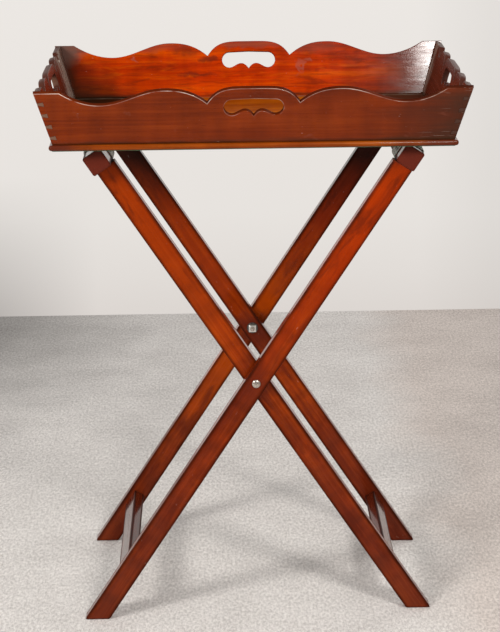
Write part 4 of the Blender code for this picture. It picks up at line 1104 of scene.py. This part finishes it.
def strap_path():
    """The strap's middle line as (x, z) points, from the left rail's tail over the top to the right one's."""
    radius = RAIL_EASE + FIT_GAP + STRAP_THICKNESS / 2
    corners = []
    for up, out in ((1, -1), (1, 1), (-1, 1), (-1, -1)):
        spot = stand_point(1, RAIL_FROM_PIVOT + up * RAIL_CORE, RAIL_OFFSET + out * RAIL_CORE, 0)
        corners.append(Vector((spot.x, spot.z)))
    top = corners[0].y + radius
    path = [Vector((corners[0].x * i / SPAN_STEPS, top)) for i in range(1, SPAN_STEPS)]
    bearing = 0.0
    for number, corner in enumerate(corners):
        target = LEAN + QUARTER * number
        for i in range(BEND_STEPS + 1):
            angle = bearing + (target - bearing) * i / BEND_STEPS
            path.append(corner + Vector((math.sin(angle), math.cos(angle))) * radius)
        bearing = target
        if number < 3:
            after = corners[number + 1] - corner
            way_out = Vector((math.sin(target), math.cos(target))) * radius
            path += [corner + way_out + after * i / FACE_STEPS for i in range(1, FACE_STEPS)]
    along = Vector((math.sin(LEAN), math.cos(LEAN)))
    tail = path[-1]
    path += [tail + along * (2 * RAIL_CORE * STRAP_TAIL_SHARE) * i / FACE_STEPS for i in range(1, FACE_STEPS + 1)]
    return [Vector((-spot.x, spot.y)) for spot in reversed(path)] + [Vector((0, top))] + path


def strap_piece(name, way):
    """Sweeps a flat section with soft edges along the strap's path, with its weave's own UV map."""
    path = strap_path()
    half, thick = STRAP_WIDTH / 2, STRAP_THICKNESS / 2
    edge, thinner = half - SELVEDGE_ROUND, thick * SELVEDGE_THINNER
    section = [(-half, 0.0), (-edge, thinner), (-half + SELVEDGE, thick)]
    section += [(-half + SELVEDGE + (STRAP_WIDTH - 2 * SELVEDGE) * i / WIDTH_STEPS, thick)
                for i in range(1, WIDTH_STEPS)]
    section += [(half - SELVEDGE, thick), (edge, thinner)]
    section += [(-across, -lift) for across, lift in section]
    rings, runs = [], []
    travelled = 0.0
    middle = way * (STRAP_EDGE - half)
    for i, spot in enumerate(path):
        line = (path[min(i + 1, len(path) - 1)] - path[max(i - 1, 0)]).normalized()
        if i:
            travelled += (spot - path[i - 1]).length
        runs.append(travelled)
        ring = []
        for across, lift in section:
            lifted = spot + Vector((-line.y, line.x)) * lift
            ring.append((lifted.x, middle + across + way * STRAP_SLANT * spot.x, lifted.y))
        rings.append(ring)
    bm = bmesh.new()
    made = stacked(bm, rings)
    weave = bm.loops.layers.uv.new("weave")
    places = {vertex: (runs[i], section[j][0] + half) for i, row in enumerate(made) for j, vertex in enumerate(row)}
    for face in bm.faces:
        for corner in face.loops:
            corner[weave].uv = places[corner.vert]
    strap = new_piece(name, bm, web.material)
    smooth(strap, 60)
    return strap, travelled


for side, way in (("front", -1), ("back", 1)):
    strap, length = strap_piece("woven_strap_" + side, way)
    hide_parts("strap_" + side)
    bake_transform(strap)

# ---------------------------------------------------------------------------
# The tacks: dark domed steel, three through each end of each strap into the
# rail's inner face.
# ---------------------------------------------------------------------------
TACKS_PER_END = 3
TACK_PLACE_SHARE, TACK_SPREAD_SHARE = 0.36, 0.6
HEAD_SIDES, HEAD_RINGS, SHANK_SIDES, SHANK_TIP = 20, 10, 12, 0.0001
TACK_SIZES = {"Head Radius": 0.0035, "Head Height": 0.001, "Shank Radius": 0.0009, "Shank Length": 0.008,
              "Lift": STRAP_THICKNESS + 2 * FIT_GAP}


def tack_tree():
    """Sets a domed tack at every point of a mesh, turned to that point's "facing" direction."""
    group = bpy.data.node_groups.new("domed_tacks", "GeometryNodeTree")
    group.interface.new_socket("Places", in_out="INPUT", socket_type="NodeSocketGeometry")
    for name in TACK_SIZES:
        group.interface.new_socket(name, in_out="INPUT", socket_type="NodeSocketFloat")
    group.interface.new_socket("Finish", in_out="INPUT", socket_type="NodeSocketMaterial")
    group.interface.new_socket("Tacks", in_out="OUTPUT", socket_type="NodeSocketGeometry")
    nodes = Nodes(group)
    given = nodes.add("NodeGroupInput")
    radius, length, lift = given["Head Radius"], given["Shank Length"], given["Lift"]
    ball = nodes.add("GeometryNodeMeshUVSphere", {"Segments": HEAD_SIDES, "Rings": HEAD_RINGS, "Radius": 1.0})[0]
    size = nodes.add("ShaderNodeCombineXYZ", {0: radius, 1: radius, 2: given["Head Height"]})[0]
    ball = nodes.add("GeometryNodeTransform", {"Geometry": ball, "Scale": size})[0]
    height = nodes.parts(nodes.add("GeometryNodeInputPosition")[0])[2]
    under = nodes.add("FunctionNodeCompare", {0: height, 1: -1e-5}, data_type="FLOAT", operation="LESS_THAN")[0]
    dome = nodes.add("GeometryNodeDeleteGeometry", {"Geometry": ball, "Selection": under}, domain="POINT")[0]
    dome = nodes.add("GeometryNodeConvexHull", {"Geometry": dome})[0]
    up = nodes.add("ShaderNodeCombineXYZ", {2: lift})[0]
    dome = nodes.add("GeometryNodeTransform", {"Geometry": dome, "Translation": up})[0]
    shank = nodes.add("GeometryNodeMeshCone", {
        "Vertices": SHANK_SIDES, "Radius Top": given["Shank Radius"], "Radius Bottom": SHANK_TIP,
        "Depth": nodes.plus(length, lift)})[0]
    down = nodes.add("ShaderNodeCombineXYZ", {2: nodes.times(length, -1.0)})[0]
    shank = nodes.add("GeometryNodeTransform", {"Geometry": shank, "Translation": down})[0]
    tack = nodes.add("GeometryNodeJoinGeometry", {0: dome})[0]
    nodes.feed(tack.node, {0: shank})
    facing = nodes.add("GeometryNodeInputNamedAttribute", {"Name": "facing"}, data_type="FLOAT_VECTOR")[0]
    turn = nodes.add("FunctionNodeAlignRotationToVector", {"Vector": facing}, axis="Z")[0]
    points = nodes.add("GeometryNodeMeshToPoints", {"Mesh": given["Places"]})[0]
    placed = nodes.add("GeometryNodeInstanceOnPoints", {"Points": points, "Instance": tack, "Rotation": turn})[0]
    real = nodes.add("GeometryNodeRealizeInstances", {0: placed})[0]
    finished = nodes.add("GeometryNodeSetMaterial", {"Geometry": real, "Material": given["Finish"]})[0]
    nodes.add("NodeGroupOutput", {0: finished})
    return group


def tack_spots(way):
    """Where each tack enters a rail's inner face."""
    up = RAIL_FROM_PIVOT - RAIL_CORE + 2 * RAIL_CORE * TACK_PLACE_SHARE
    spot = stand_point(way, up, RAIL_OFFSET - RAIL_HALF, 0)
    spots = []
    for side in (-1, 1):
        middle = side * (STRAP_EDGE - STRAP_WIDTH / 2 + STRAP_SLANT * spot.x)
        for i in range(TACKS_PER_END):
            share = i / (TACKS_PER_END - 1) - 0.5
            spots.append(Vector((spot.x, middle + share * TACK_SPREAD_SHARE * STRAP_WIDTH, spot.z)))
    return spots


tacks = tack_tree()
for frame_name, way, _, _ in frames:
    mesh = bpy.data.meshes.new("tack_places")
    mesh.from_pydata(tack_spots(way), [], [])
    for value in mesh.attributes.new("facing", "FLOAT_VECTOR", "POINT").data:
        value.vector = stand_point(way, 0, -1, 0) - PIVOT
    piece = bpy.data.objects.new(frame_name + "_domed_tacks", mesh)
    bpy.context.scene.collection.objects.link(piece)
    step = piece.modifiers.new("tacks", "NODES")
    step.node_group = tacks
    settings = dict(TACK_SIZES, Finish=dark_steel)
    for socket in tacks.interface.items_tree:
        if socket.in_out == "INPUT" and socket.name in settings:
            step[socket.identifier] = settings[socket.name]
    settle(piece)
    smooth(piece, 50)
    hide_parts(*[frame_name + "_strap_tack_" + str(number) for number in range(1, 2 * TACKS_PER_END + 1)])
    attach(piece, frame_name + "_frame")
